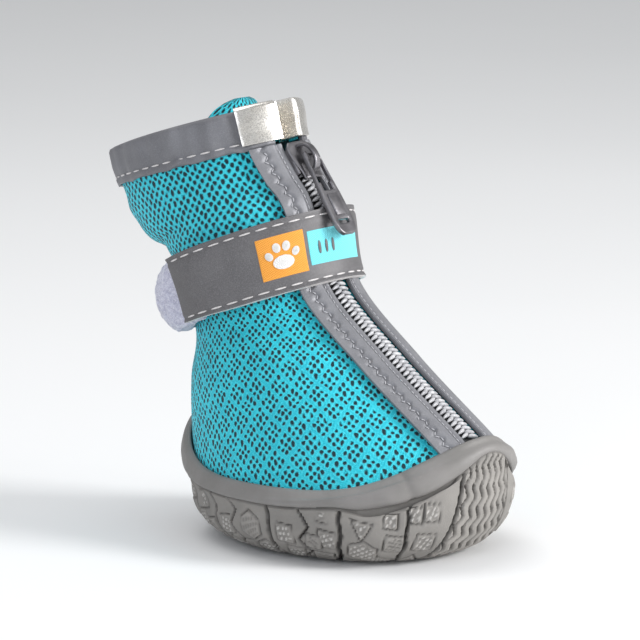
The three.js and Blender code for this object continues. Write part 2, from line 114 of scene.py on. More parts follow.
def column_at(column, height):
    """A smooth curve through one column of the table."""
    first = 2 * column[0] - column[1]
    final = 2 * column[-1] - column[-2]
    values = np.concatenate([[first], column, [final]])
    place = np.clip(height, 0, 1) * (len(column) - 1)
    row = np.minimum(np.floor(place).astype(int), len(column) - 2)
    t = place - row
    start, end = values[row + 1], values[row + 2]
    leaving = (end - values[row]) / 2
    arriving = (values[row + 3] - start) / 2
    bend = -3 * start + 3 * end - 2 * leaving - arriving
    twist = 2 * start - 2 * end + leaving + arriving
    return start + leaving * t + bend * t**2 + twist * t**3


def skin(height, angle):
    """Points of the upper's outer skin. angle is 0 at the toe and a quarter turn at the left."""
    along = (1 - np.cos(angle)) / 2
    sag = column_at(DIP, height) * (1 - np.cos(angle) ** 4)
    front_y, front_z = column_at(FRONT_Y, height), column_at(FRONT_Z, height)
    egg = 1 - column_at(EGG, height) * np.cos(angle)
    x = column_at(HALF_WIDTH, height) * np.sin(angle) * egg
    y = front_y + (column_at(BACK_Y, height) - front_y) * along
    z = front_z + (column_at(BACK_Z, height) - front_z) * along - sag
    return np.stack(np.broadcast_arrays(x, y, z), axis=-1)


def unit(vectors):
    return vectors / np.linalg.norm(vectors, axis=-1, keepdims=True)


def last(height, angle, proud=0.0, rise=0.0):
    """The skin moved outwards by proud, and up the shaft by rise."""
    height, angle, proud, rise = np.broadcast_arrays(height, angle, proud, rise)
    small = 0.002
    above, below = np.minimum(height + small, 1), np.maximum(height - small, 0)
    up = unit(skin(above, angle) - skin(below, angle))
    around = unit(skin(height, angle + small) - skin(height, angle - small))
    outward = unit(np.cross(around, up))
    return skin(height, angle) + outward * proud[..., None] + up * rise[..., None]


def front_angle(height, across):
    """The angle at which a section is across mm beside the centre plane, at the front."""
    return np.arcsin(across / (column_at(HALF_WIDTH, height) * (1 - column_at(EGG, height))))


def smooth(value, low, high):
    """0 below low, 1 above high, with a soft slope between."""
    share = np.clip((value - low) / (high - low), 0, 1)
    return share * share * (3 - 2 * share)


def at_row(table, place):
    """The values in a table's columns at a place between its rows."""
    return [np.interp(place, np.arange(len(table)), column) for column in table.T]


def run_along(points):
    """How far along a line each of its points lies, in mm."""
    steps = np.linalg.norm(np.diff(points, axis=0), axis=1)
    return np.concatenate([[0], np.cumsum(steps)])


print("collar top at the front:", np.round(skin(1.0, 0.0), 1))

# %% [markdown]
# ## Hands
# A few helpers do what hands do: lay a grid on a form, give it thickness, round its edges, and hand
# the piece to the frame. A wrapped grid keeps its flat size in millimetres in its UV map, so a
# weave or a mesh follows the cloth.

# %% Helpers for pieces


def deselect():
    for obj in bpy.context.selected_objects:
        obj.select_set(False)


def only(obj):
    deselect()
    obj.select_set(True)
    bpy.context.view_layer.objects.active = obj


def wrapped(name, columns, rows, place, flat=(1.0, 1.0)):
    """A grid wrapped so that its point at shares (u, v) lies at place(u, v), in mm."""
    deselect()
    bpy.ops.mesh.primitive_grid_add(x_subdivisions=columns, y_subdivisions=rows, size=2)
    obj = bpy.context.object
    obj.name = name
    count = len(obj.data.vertices)
    coordinates = np.empty(count * 3)
    obj.data.vertices.foreach_get("co", coordinates)
    shares = (coordinates.reshape(-1, 3)[:, :2] + 1) / 2
    points = np.asarray(place(shares[:, 0], shares[:, 1]))
    obj.data.vertices.foreach_set("co", (points * MM).ravel())
    loops = np.empty(len(obj.data.loops), dtype=int)
    obj.data.loops.foreach_get("vertex_index", loops)
    uv = shares[loops] * np.array(flat)
    obj.data.uv_layers[0].data.foreach_set("uv", uv.ravel())
    obj.data.update()
    return obj


def edit(obj, *operations):
    """Runs edit-mode operators on the whole of a piece."""
    only(obj)
    bpy.ops.object.mode_set(mode="EDIT")
    bpy.ops.mesh.select_all(action="SELECT")
    for operation in operations:
        operation()
    bpy.ops.object.mode_set(mode="OBJECT")


def merge():
    bpy.ops.mesh.remove_doubles(threshold=2e-6)


def recalculate():
    bpy.ops.mesh.select_all(action="SELECT")
    bpy.ops.mesh.normals_make_consistent(inside=False)


def lie_along_x():
    """A quarter turn that lays a new primitive's Z along X."""
    bpy.ops.transform.rotate(value=math.pi / 2, orient_axis="Y", center_override=(0, 0, 0))


def fill_ends():
    """Closes the open ends of a wrapped tube."""
    bpy.ops.mesh.select_all(action="DESELECT")
    bpy.ops.mesh.select_non_manifold()
    bpy.ops.mesh.fill_holes(sides=0)


def modify(obj, kind, **settings):
    """Adds a modifier and applies it."""
    only(obj)
    modifier = obj.modifiers.new(kind.lower(), kind)
    for key, value in settings.items():
        setattr(modifier, key, value)
    bpy.ops.object.modifier_apply(modifier=modifier.name)


def thicken(obj, thickness, edge=0.0, even=True, edge_slot=0):
    """Gives a wrapped sheet its thickness, inwards, and rounds its edges.

    edge_slot is the material slot of the cut edge, where the edge has its own.
    """
    modify(
        obj, "SOLIDIFY", thickness=thickness * MM, offset=-1, use_even_offset=even,
        material_offset_rim=edge_slot,
    )
    if edge:
        modify(
            obj, "BEVEL", width=edge * MM, segments=2, limit_method="ANGLE",
            angle_limit=math.radians(50), material=edge_slot or -1,
        )


def hold(obj, slot, material, *nodes, body="boot", sharp=40):
    """Shades a piece and tells the frame its body and the nodes it stands for. slot is not used."""
    only(obj)
    bpy.ops.object.shade_smooth_by_angle(angle=math.radians(sharp))
    if material:
        obj.data.materials.clear()
        obj.data.materials.append(material)
    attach(obj, body)
    if nodes:
        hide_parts(*nodes)
    print(obj.name, len(obj.data.polygons), "faces")


def copies(name, pattern, places):
    """One mesh of many copies of a small pattern mesh. places are 4x4 arrays, in mm."""
    count = len(pattern.vertices)
    flat = np.empty(count * 3)
    pattern.vertices.foreach_get("co", flat)
    points = np.c_[flat.reshape(-1, 3), np.ones(count)]
    faces = [tuple(face.vertices) for face in pattern.polygons]
    all_points = np.concatenate([(points @ place.T)[:, :3] for place in places]) * MM
    all_faces = [
        tuple(index + turn * count for index in face)
        for turn in range(len(places)) for face in faces
    ]
    mesh = bpy.data.meshes.new(name)
    mesh.from_pydata(all_points.tolist(), [], all_faces)
    obj = bpy.data.objects.new(name, mesh)
    scene.collection.objects.link(obj)
    return obj


def frame_at(point, along, outward, scale=(1.0, 1.0, 1.0)):
    """A placing matrix: X along a path, Z off the surface."""
    along = along / np.linalg.norm(along)
    side = np.cross(outward, along)
    side = side / np.linalg.norm(side)
    outward = np.cross(along, side)
    place = np.eye(4)
    for index, axis in enumerate((along, side, outward)):
        place[:3, index] = axis * scale[index]
    place[:3, 3] = point
    return place


print("helpers ready")

# %% [markdown]
# ## Finishes
# Each finish is a small network. One function turns sRGB hex to linear, one makes a material, and
# one adds a node with its settings and links. The rest are recipes that several finishes share.

# %% Helpers for materials


def colour(hex_value):
    """An sRGB hex string as linear RGBA."""
    parts = [int(hex_value[i:i + 2], 16) / 255 for i in (1, 3, 5)]
    linear = [c / 12.92 if c <= 0.04045 else ((c + 0.055) / 1.055) ** 2.4 for c in parts]
    return (*linear, 1.0)


def finish_named(name, **surface):
    """A new material and its Principled shader, with constants set on the shader's sockets."""
    material = bpy.data.materials.new(name)
    material.use_nodes = True
    shader = material.node_tree.nodes["Principled BSDF"]
    for socket, value in surface.items():
        shader.inputs[socket.replace("_", " ")].default_value = value
    return material, shader


def live(sockets):
    """The sockets that a node's settings leave in use."""
    return [socket for socket in sockets if socket.enabled]


def feed(material, source, socket):
    """Gives a socket a node, one of its outputs, or a constant; None leaves it as it is."""
    if isinstance(source, bpy.types.Node):
        source = live(source.outputs)[0]
    if isinstance(source, bpy.types.NodeSocket):
        material.node_tree.links.new(source, socket)
    elif source is not None:
        socket.default_value = source


def add(material, kind, *inputs, **settings):
    """Adds a node with its settings, and feeds its live sockets in their order."""
    node = material.node_tree.nodes.new("ShaderNode" + kind)
    for key, value in settings.items():
        setattr(node, key, value)
    for socket, source in zip(live(node.inputs), inputs):
        feed(material, source, socket)
    return node


def millimetres(material):
    """Object coordinates in mm."""
    place = add(material, "TexCoord").outputs["Object"]
    return add(material, "Mapping", place, None, None, (1000, 1000, 1000))


def cloth_millimetres(material):
    """The piece's own UV map, whose unit is a millimetre, and its two directions on their own."""
    uv = add(material, "UVMap", uv_map="UVMap")
    apart = add(material, "SeparateXYZ", uv)
    return uv, apart.outputs[0], apart.outputs[1]


def two_tone(material, value, low, high, first, second, most=1.0):
    """Goes from one tone to another as a value climbs; first is a hex colour or a node."""
    share = add(material, "MapRange", value, low, high, 0.0, most)
    under = colour(first) if isinstance(first, str) else first
    return add(material, "Mix", share, under, colour(second), data_type="RGBA")


def vary_gloss(material, shader, value, low, high, smoothest, roughest):
    """Lets the roughness follow a value."""
    rough = add(material, "MapRange", value, low, high, smoothest, roughest)
    feed(material, rough, shader.inputs["Roughness"])


def surfaced(material, shader, tone, height, relief, under=None):
    """Gives the shader its colour, and a relief of so many mm where the height is 1."""
    feed(material, tone, shader.inputs["Base Color"])
    raised = add(material, "Bump", 1.0, relief * MM, None, height, under)
    feed(material, raised, shader.inputs["Normal"])
    return material


# %% [markdown]
# ### Air mesh
# The upper is a knitted polyester mesh. Below the strap its holes stand in slanted blocks of three
# by three, with plain bands between; above the strap they are evenly spaced. The holes are painted
# near-black teal: the dark backing, deepened with painted shade. A painted highlight rings each
# hole.
# The pattern is worked out on the flat cloth from real sizes: the hole spacing and the block
# spacing, in millimetres. Noise shakes the rows a little, as in real knitting.

# %% Air mesh
HOLE_SPACING, SHAFT_SPACING = 1.36, 1.7
BLOCK_SPACING, BLOCK_HOLES = 4.6, 3
WALE_PITCH, COURSE_PITCH = 0.46, 0.52  # knitted loops, drawn a little coarse so that they show
STRAP_SLOPE, STRAP_PLANE = 0.382, 64.7  # the strap's middle: up + slope * back, in mm


def leaning_rows(material, along, other, slant, shakes, repeat, spacing):
    """Rows across one direction: how far off a hole's middle, whether in a block, and the run."""
    leaning = add(material, "Math", other, slant, along, operation="MULTIPLY_ADD")
    shaken = leaning
    for shake, amount in shakes:
        shaken = add(material, "Math", shake, amount, shaken, operation="MULTIPLY_ADD")
    inside = add(material, "Math", shaken, repeat, 0.0, operation="WRAP")
    hole = add(material, "Math", inside, spacing, operation="DIVIDE")
    share = add(material, "Math", hole, operation="FRACT")
    off_middle = add(material, "Math", share, 0.5, operation="SUBTRACT")
    in_block = add(material, "Math", hole, BLOCK_HOLES, operation="LESS_THAN")
    return off_middle, in_block, leaning


def air_mesh(name):
    """Knitted mesh: holes in blocks of three below the strap, and evenly spaced above it."""
    material, shader = finish_named(
        name, Roughness=0.6, Sheen_Weight=0.12, Sheen_Roughness=0.4, Specular_IOR_Level=0.35,
    )
    uv, across, upward = cloth_millimetres(material)
    wander = add(material, "TexNoise", uv, 1 / 9.0, 1.0)
    jitter = add(material, "TexNoise", uv, 1 / 1.6, 1.0)
    _, back, up = add(material, "SeparateXYZ", millimetres(material)).outputs
    climb = add(material, "Math", back, STRAP_SLOPE, up, operation="MULTIPLY_ADD")
    shaft = add(material, "Math", climb, STRAP_PLANE, operation="GREATER_THAN")
    repeat = add(
        material, "MapRange", shaft, 0.0, 1.0, BLOCK_SPACING, BLOCK_HOLES * SHAFT_SPACING,
    )
    spacing = add(material, "MapRange", shaft, 0.0, 1.0, HOLE_SPACING, SHAFT_SPACING)
    # The rows of holes run down towards the toe; the other way they lean back.
    rows = (((wander, 1.2), (jitter, 1.15)), repeat, spacing)
    near_u, block_u, lean_u = leaning_rows(material, across, upward, 0.40, *rows)
    near_v, block_v, lean_v = leaning_rows(material, upward, across, -0.62, *rows)
    squared = add(material, "Math", near_u, near_u, operation="MULTIPLY")
    squares = add(material, "Math", near_v, near_v, squared, operation="MULTIPLY_ADD")
    distance = add(material, "Math", squares, operation="SQRT")
    # A soft-edged hole a little over half the spacing wide; some are tighter than others.
    nearer = add(material, "Math", distance, 1.0, -0.17, operation="MULTIPLY_ADD")
    size = add(material, "Math", jitter, 0.34, nearer, operation="MULTIPLY_ADD")
    round_hole = add(material, "MapRange", size, 0.23, 0.38, 1.0, 0.0)
    blocks = add(material, "Math", block_u, block_v, operation="MULTIPLY")
    hole = add(material, "Math", round_hole, blocks, operation="MULTIPLY")
    # Knitted wales and courses: fine cords along both directions of the cloth.
    cords = [
        add(
            material, "Math",
            add(material, "Math", lean, math.tau / pitch, operation="MULTIPLY"), operation="SINE",
        )
        for lean, pitch in ((lean_u, WALE_PITCH), (lean_v, COURSE_PITCH))
    ]
    knit = add(material, "Math", *cords, operation="MULTIPLY")
    patch_tone = add(material, "TexNoise", uv, 1 / 5.0, 2.0)
    thread = two_tone(material, patch_tone, 0.35, 0.7, "#17BBD0", "#25CFE1")
    # The cords' crests get a painted highlight in a paler turquoise.
    lit = two_tone(material, knit, 0.1, 1.0, thread, "#52E2F0", most=0.5)
    # A painted highlight rings each hole, on the threads between two holes.
    edge = add(material, "MapRange", distance, 0.38, 0.52, 0.0, 1.0)
    rim = add(material, "Math", edge, blocks, operation="MULTIPLY")
    painted_hole_highlight = add(material, "Math", rim, 0.55, operation="MULTIPLY")
    bright = add(material, "Mix", painted_hole_highlight, lit, colour("#4FE4F2"), data_type="RGBA")
    # The holes are painted near-black teal: the dark backing, deepened with painted shade.
    final = add(material, "Mix", hole, bright, colour("#05303A"), data_type="RGBA")
    fine = add(material, "Math", knit, 0.12, operation="MULTIPLY")
    depth = add(material, "Math", hole, -1.0, fine, operation="MULTIPLY_ADD")
    return surfaced(material, shader, final, depth, 0.45)


mesh_blocks = air_mesh("knitted air mesh")
print(mesh_blocks.name)

# %% [markdown]
# ### Reflective cloth
# Collar binding and strap are grey reflective cloth: fine glass beads in a resin coat. It reads as
# a satin grey with a very fine grain, a little paler where it is bent and rubbed.

# %% Reflective cloth


def reflective_cloth(name, base, pale, roughness=0.5):
    material, shader = finish_named(name, Roughness=roughness, Metallic=0.25)
    place = millimetres(material)
    beads = add(material, "TexNoise", place, 1 / 0.22, 2.0, 0.6)
    cloud = add(material, "TexNoise", place, 1 / 7.0, 3.0)
    tone = two_tone(material, cloud, 0.35, 0.75, base, pale)
    speck = two_tone(material, beads, 0.45, 0.8, tone, "#A9A9AE", most=0.35)
    vary_gloss(material, shader, beads, 0.3, 0.7, roughness - 0.1, roughness + 0.15)
    return surfaced(material, shader, speck, beads, 0.05)


binding_cloth = reflective_cloth("reflective binding cloth", "#6B6B6F", "#7A7A7E")
strap_cloth = reflective_cloth("reflective strap cloth", "#5C5A5B", "#646263")
facing_cloth = reflective_cloth("pale reflective tape", "#77777B", "#8A8A8E", 0.45)
print("reflective cloths ready")

# %% [markdown]
# ### Rubber
# The sole is moulded rubber, matt on the lugs. The grooves are painted darker, as dust and as
# painted shade, and the moulding leaves the speckled blocks paler. The mesh carries both as
# attributes: groove depth and speckle. The band above it is smoother, with scuffs.

# %% Rubber


def moulded_rubber(name, lug, groove, speck):
    material, shader = finish_named(name, Roughness=0.68, Specular_IOR_Level=0.4)
    place = millimetres(material)
    cloud = add(material, "TexNoise", place, 1 / 8.0, 4.0)
    grain = add(material, "TexNoise", place, 1 / 0.35, 2.0)
    tone = two_tone(material, cloud, 0.3, 0.75, lug, "#9A9691")
    depth = add(material, "Attribute", attribute_name="groove").outputs["Fac"]
    dots = add(material, "Attribute", attribute_name="speckle").outputs["Fac"]
    # Grooves and the recess under the rand turn towards the groove colour: dust and painted shade.
    groove_dust_and_shade = add(material, "Math", depth, 0.9, operation="MULTIPLY")
    shaded = add(material, "Mix", groove_dust_and_shade, tone, colour(groove), data_type="RGBA")
    final = add(material, "Mix", dots, shaded, colour(speck), data_type="RGBA")
    vary_gloss(material, shader, grain, 0.2, 0.8, 0.58, 0.8)
    return surfaced(material, shader, final, grain, 0.06)


def band_rubber(name):
    material, shader = finish_named(name, Roughness=0.5)
    place = millimetres(material)
    cloud = add(material, "TexNoise", place, 1 / 12.0, 3.0)
    scuff = add(material, "TexNoise", place, 1 / 0.9, 4.0, 0.7)
    tone = two_tone(material, cloud, 0.3, 0.7, "#74726F", "#858280")
    worn = two_tone(material, scuff, 0.62, 0.8, tone, "#ACA7A1", most=0.3)
    vary_gloss(material, shader, scuff, 0.3, 0.7, 0.42, 0.62)
    return surfaced(material, shader, worn, scuff, 0.04)


tread_rubber = moulded_rubber("moulded tread rubber", "#84817D", "#232120", "#CFCCC8")
rand_rubber = band_rubber("smooth band rubber")
print("rubbers ready")

# %% [markdown]
# ### Zip tape, coil, thread, metal, pile and lining
# The tape is a plain weave of dark polyester. The coil is nylon monofilament. Thread is twisted
# polyester. Slider and pull are zinc castings plated dark grey; the clips are bright nickel. The
# hook-and-loop pile is brushed nylon.

# %% Zip, thread, metal, pile and lining


def woven(name, dark, light, pitch, roughness=0.85, relief=0.12):
    """Plain weave with threads pitch mm apart, drawn a little coarse so that it shows."""
    material, shader = finish_named(name, Roughness=roughness, Sheen_Weight=0.2)
    _, across, upward = cloth_millimetres(material)
    waves = [
        add(
            material, "Math",
            add(material, "Math", way, math.tau / pitch, operation="MULTIPLY"), operation="SINE",
        )
        for way in (across, upward)
    ]
    over = add(material, "Math", *waves, operation="MULTIPLY")
    tone = two_tone(material, over, -0.8, 0.8, dark, light)
    return surfaced(material, shader, tone, over, relief)


def plated(name, base, dark, roughness, size):
    """Plated casting: a metal with faint clouds and fine polishing marks."""
    material, shader = finish_named(name, Roughness=roughness, Metallic=1.0)
    place = millimetres(material)
    cloud = add(material, "TexNoise", place, 1 / size, 4.0)
    marks = add(material, "TexNoise", place, 1 / 0.3, 2.0)
    tone = two_tone(material, cloud, 0.3, 0.75, base, dark)
    vary_gloss(material, shader, marks, 0.2, 0.8, roughness * 0.7, roughness * 1.4)
    return surfaced(material, shader, tone, marks, 0.02)


def yarn(name, base, pale):
    """Twisted polyester thread."""
    material, shader = finish_named(name, Roughness=0.6, Sheen_Weight=0.3)
    twist = add(material, "TexNoise", millimetres(material), 1 / 0.25, 2.0)
    return surfaced(
        material, shader, two_tone(material, twist, 0.3, 0.7, base, pale), twist, 0.08,
    )


def brushed_pile(name, base, pale, shade):
    """Brushed nylon loops: soft clumps about a millimetre across."""
    material, shader = finish_named(name, Roughness=0.95, Sheen_Weight=0.6, Sheen_Roughness=0.5)
    place = millimetres(material)
    clump = add(material, "TexNoise", place, 1 / 1.1, 4.0, 0.65)
    hair = add(material, "TexNoise", place, 1 / 0.3, 3.0, 0.7)
    # The dips between clumps are painted in the shade colour: painted shade.
    tone = two_tone(material, clump, 0.35, 0.65, shade, base)
    final = two_tone(material, hair, 0.5, 0.75, tone, pale)
    clumps = add(material, "Bump", 1.0, 0.5 * MM, None, clump)
    return surfaced(material, shader, final, hair, 0.2, under=clumps)


def moulded_nylon(name, base, shade):
    """Nylon monofilament, drawn through a die: smooth, with faint cloudy spots."""
    material, shader = finish_named(name, Roughness=0.35)
    spots = add(material, "TexNoise", millimetres(material), 1 / 1.2, 2.0)
    return surfaced(
        material, shader, two_tone(material, spots, 0.35, 0.7, base, shade), spots, 0.05,
    )


zip_cloth = woven("woven zip tape", "#1A1B1D", "#3A3B3F", 0.55)
lining_cloth = woven("dark tricot lining", "#16363B", "#2A5A60", 0.7)
board_cloth = woven("insole cover cloth", "#26282A", "#45484B", 0.8)
label_cloth = woven("woven label", "#66D3DE", "#82E6EF", 0.5, 0.7, 0.05)
badge_cloth = woven("woven badge", "#E38F26", "#F7AC45", 0.5, 0.7, 0.05)
motif_cloth = woven("white embroidery", "#D8D5D2", "#F4F2F0", 0.5, 0.7, 0.05)
coil_nylon = moulded_nylon("silver coil nylon", "#C4C4C6", "#9C9CA0")
white_thread = yarn("pale sewing thread", "#BEB9B9", "#E8E4E2")
facing_thread = yarn("grey sewing thread", "#9C9CA0", "#BCBCC0")
edge_cloth = yarn("pale cut edge", "#A9A5A4", "#C9C5C3")
tongue_edge = yarn("turquoise bound edge", "#17A9BA", "#22BFCF")
dark_plate = plated("dark zinc plate", "#8D8B8E", "#6C6A6D", 0.36, 3.0)
bright_nickel = plated("bright nickel plate", "#F2EFEA", "#DDD8D0", 0.27, 5.0)
pile = brushed_pile("brushed nylon pile", "#D2D2E2", "#F4F4FA", "#A6A6BE")
print("materials:", len(bpy.data.materials))

# %% [markdown]
# ## Cup sole
# The outsole is a bowl with a flat tread. Its tread pattern runs on up the wall, so the pattern is
# drawn on the sole as if the wall were flattened out: each point of the bowl gets a place in that
# flat plan, and the relief there pushes it in. The relief is real geometry, on a grid about half a
# millimetre fine, because grooves and lugs make the sole's outline.

# %% The bowl
GAP = 0.3
RUBBER_WALL = 3
OUTER = GAP + RUBBER_WALL
SOLE_FLOOR = 3.6
FLAT_SHARE = 0.62
TREAD_DEPTH = 1.15
RIM_DROP, RIM_BLEND = 1.3, 0.6  # how far the rim keeps below the rand, and how softly, in mm
RIM = level("sole rim")
AROUND = 560
FLAT_ROWS, WALL_ROWS, LIP_ROWS = 34, 50, 14


def joint_height(angle):
    """Where the tread ends and the rand starts, as a height on the last.

    It peaks over the toe, dips beside it, and rises again from the middle towards the heel.
    """
    turn = np.degrees(np.abs((np.asarray(angle) + math.pi) % (math.tau) - math.pi))
    toe = 0.13 * np.exp(-((turn / 13) ** 2)) - 0.09 * np.exp(-(((turn - 27) / 10) ** 2))
    return level("sole rim", 0.42) + (toe + 0.19 * smooth(turn, 78, 122)) / (len(NAMES) - 1)


def bowl(angle, turn):
    """The outside of the bowl: turn is 0 at the rim and 1 where the flat tread starts."""
    edge = last(RIM, angle, OUTER)
    # The rim stays a little below the rand, also where the rand dips beside the toe.
    over = edge[..., 2] - (last(joint_height(angle), angle, OUTER)[..., 2] - RIM_DROP)
    rim_z = edge[..., 2] - RIM_BLEND * np.log1p(np.exp(over / RIM_BLEND))
    quarter = turn * math.pi / 2
    spread = FLAT_SHARE + (1 - FLAT_SHARE) * np.cos(quarter) ** 0.85
    height = 1 - np.sin(quarter) ** 0.92
    return np.stack([edge[..., 0] * spread, edge[..., 1] * spread, rim_z * height], axis=-1)


angles = np.linspace(0, math.tau, AROUND + 1)
flat_edge = bowl(angles, np.ones_like(angles))
flat_part = [flat_edge * share for share in np.linspace(0, 1, FLAT_ROWS + 1)[:-1]]
wall_part = [bowl(angles, np.full_like(angles, turn)) for turn in np.linspace(1, 0, WALL_ROWS)]
# Above the rim the wall stands nearly upright, then leans out a little to meet the rand.
rim_line, joint_line = wall_part[-1], last(joint_height(angles), angles, OUTER)
upright = rim_line.copy()
upright[:, 2] = (rim_line[:, 2] + joint_line[:, 2]) / 2
lip_part = [
    (1 - share) ** 2 * rim_line + 2 * share * (1 - share) * upright + share**2 * joint_line
    for share in np.linspace(0, 1, LIP_ROWS + 1)[1:]
]
outside = np.stack(flat_part + wall_part + lip_part)
under_rand = last(joint_height(angles), angles, GAP + 0.2)
inner_wall = [last(height, angles, GAP) for height in np.linspace(RIM, 0, 7)]
lasting_edge = inner_wall[-1]
floor_edge = np.c_[lasting_edge[:, :2], np.full_like(angles, SOLE_FLOOR)]
floor_part = [floor_edge * (share, share, 1) for share in (0.86, 0.6, 0.3, 0.0)]
inside = np.stack([under_rand] + inner_wall + floor_part)

# The flattened plan: the same direction from the middle, at the distance along the surface.
stride = np.linalg.norm(np.diff(outside, axis=0), axis=-1)
distance = np.concatenate([np.zeros((1, AROUND + 1)), np.cumsum(stride, axis=0)])
direction = unit(flat_edge[:, :2])
plan_x = distance * direction[:, 0]
plan_y = distance * direction[:, 1]
turn_from_toe = np.degrees(np.arctan2(np.abs(plan_x), -plan_y))
out_from_middle = np.hypot(plan_x, plan_y)
half = AROUND // 2 + 1
rim_turns = np.degrees(np.arctan2(direction[:half, 0], -direction[:half, 1]))
out_share = distance / distance[-1]
print("flattened sole is", np.round(np.ptp(plan_x), 1), "by", np.round(np.ptp(plan_y), 1), "mm")

# %% [markdown]
# The tread plan: a central oval with hexagons, a size mark in a ring and chevron blocks; triangles
# with dimples and speckled squares round it; radial grooves that part the wall into panels; a
# panel of zigzag grooves at the toe, and one of diamonds at the heel. On the flat the blocks stand
# well clear of the ground between them; on the wall they are nearly flush, each in its own outline
# groove. A block is a regular polygon or a list of corners, and one function raises them all.

# %% Tread plan
OVAL_Y = -2.5
OVAL_LONG, OVAL_WIDE = 15.0, 15.5
UNDER_GROUND, WALL_GROUND = 0.6, 0.16  # depth of the plain ground, as shares of the full depth
FAR = 9.0  # mm: so far from a groove's line that it cuts nothing
DOT_PITCH, CHEVRON_PITCH, RIB_PITCH = 1.2, 1.5, 1.1

relief = UNDER_GROUND + (WALL_GROUND - UNDER_GROUND) * smooth(out_share, 0.48, 0.6)
speckle = np.zeros_like(plan_x)


def inside_outline(corners):
    """How far inside a convex outline each point of the plan is, in mm; negative outside."""
    least = np.full_like(plan_x, 1e9)
    corners = np.asarray(corners, dtype=float)
    for (ax, ay), (bx, by) in zip(corners, np.roll(corners, -1, axis=0)):
        across = (bx - ax) * (plan_y - ay) - (by - ay) * (plan_x - ax)
        least = np.minimum(least, across / math.hypot(bx - ax, by - ay))
    return least


def regular(sides, radius, centre, turn):
    """Corners of a regular polygon, counter-clockwise."""
    steps = [turn + math.tau * k / sides for k in range(sides)]
    return [(centre[0] + radius * math.cos(a), centre[1] + radius * math.sin(a)) for a in steps]


def groove(miss, width, depth=1.0):
    """Cuts a groove of that width where miss, the distance from its line, is small."""
    global relief
    cut = smooth(-np.abs(miss), -width / 2 - 0.2, -width / 2 + 0.15)
    relief = np.maximum(relief, depth * cut)


def raise_block(corners, kind, outline=0.0):
    """Raises one block to the tread's face and gives it its detail."""
    global relief, speckle
    depth = inside_outline(corners)
    relief = relief * (1 - smooth(depth, -0.25, 0.2))
    if outline:
        groove(depth + 0.2, 0.3, outline)
    centre = np.mean(np.asarray(corners), axis=0)
    dx, dy = plan_x - centre[0], plan_y - centre[1]
    if kind == "dimple":
        relief = np.maximum(relief, 0.8 * smooth(-np.hypot(dx, dy), -0.85, -0.5))
        groove(np.where(depth > 0, depth - 0.75, FAR), 0.1, 0.16)
    if kind == "dots":
        dot = np.hypot((dx / DOT_PITCH + 0.5) % 1 - 0.5, (dy / DOT_PITCH + 0.5) % 1 - 0.5)
        field = smooth(depth, 0.35, 0.6)
        relief = np.maximum(relief, 0.24 * field * smooth(dot, 0.2, 0.34))
        speckle = np.maximum(speckle, 0.75 * field * smooth(-dot, -0.32, -0.18))
    if kind == "chevron":
        line = np.abs(((np.abs(dx) * 0.9 + plan_y) / CHEVRON_PITCH) % 1 - 0.5)
        relief = np.maximum(relief, 0.6 * smooth(depth, 0.3, 0.55) * smooth(-line, -0.24, -0.1))
    if kind == "ribs":
        line = np.abs(((dx * 0.5 + dy) / RIB_PITCH) % 1 - 0.5)
        relief = np.maximum(relief, 0.35 * smooth(depth, 0.4, 0.6) * smooth(-line, -0.2, -0.08))


oval_radius = np.hypot(plan_x / OVAL_WIDE, (plan_y - OVAL_Y) / OVAL_LONG)
for step in (-8.7, -2.9, 2.9, 8.7):
    raise_block(regular(6, 2.65, (0, OVAL_Y + step), 0), "dots")
# The size mark stands in the oval's left front quarter: a ring, and two bowls one over the other.
MARK_X, MARK_Y = 8.2, OVAL_Y - 6.6
MARK_PLATE = [(3.3, -12.4), (8.5, -11.6), (13.0, -7.2), (13.8, -1.2), (3.3, -1.2)]
RING_RADIUS, BOWL_RADIUS = 4.0, 1.1
from_mark_x, from_mark_y = plan_x - MARK_X, plan_y - MARK_Y
raise_block([(x, OVAL_Y + y) for x, y in MARK_PLATE], "plain")
groove(np.hypot(from_mark_x, from_mark_y) - RING_RADIUS, 0.5, 0.55)
for bowl_y in (-1.05, 1.05):
    numeral = np.hypot(from_mark_x, from_mark_y - bowl_y) - BOWL_RADIUS
    groove(np.where(from_mark_x > -0.55, numeral, FAR), 0.5, 0.6)
# The chevron blocks of one quarter, from the oval's middle; the other quarters mirror it.
LEAVES = [
    [(3.3, 1.2), (8.2, 1.2), (7.0, 6.0), (3.3, 7.8)],
    [(9.2, 1.2), (13.8, 1.2), (12.6, 6.4), (6.4, 12.6), (3.4, 12.9), (3.4, 9.2), (8.2, 6.6)],
]
for flip_x, flip_y in ((1, 1), (-1, 1), (-1, -1)):
    for leaf in LEAVES:
        corners = [(flip_x * x, OVAL_Y + flip_y * y) for x, y in leaf]
        raise_block(corners if flip_x * flip_y > 0 else corners[::-1], "chevron")
groove((oval_radius - 1) * 15.2, 1.3)
groove(np.where(oval_radius < 1, plan_y - OVAL_Y, FAR), 1.0)

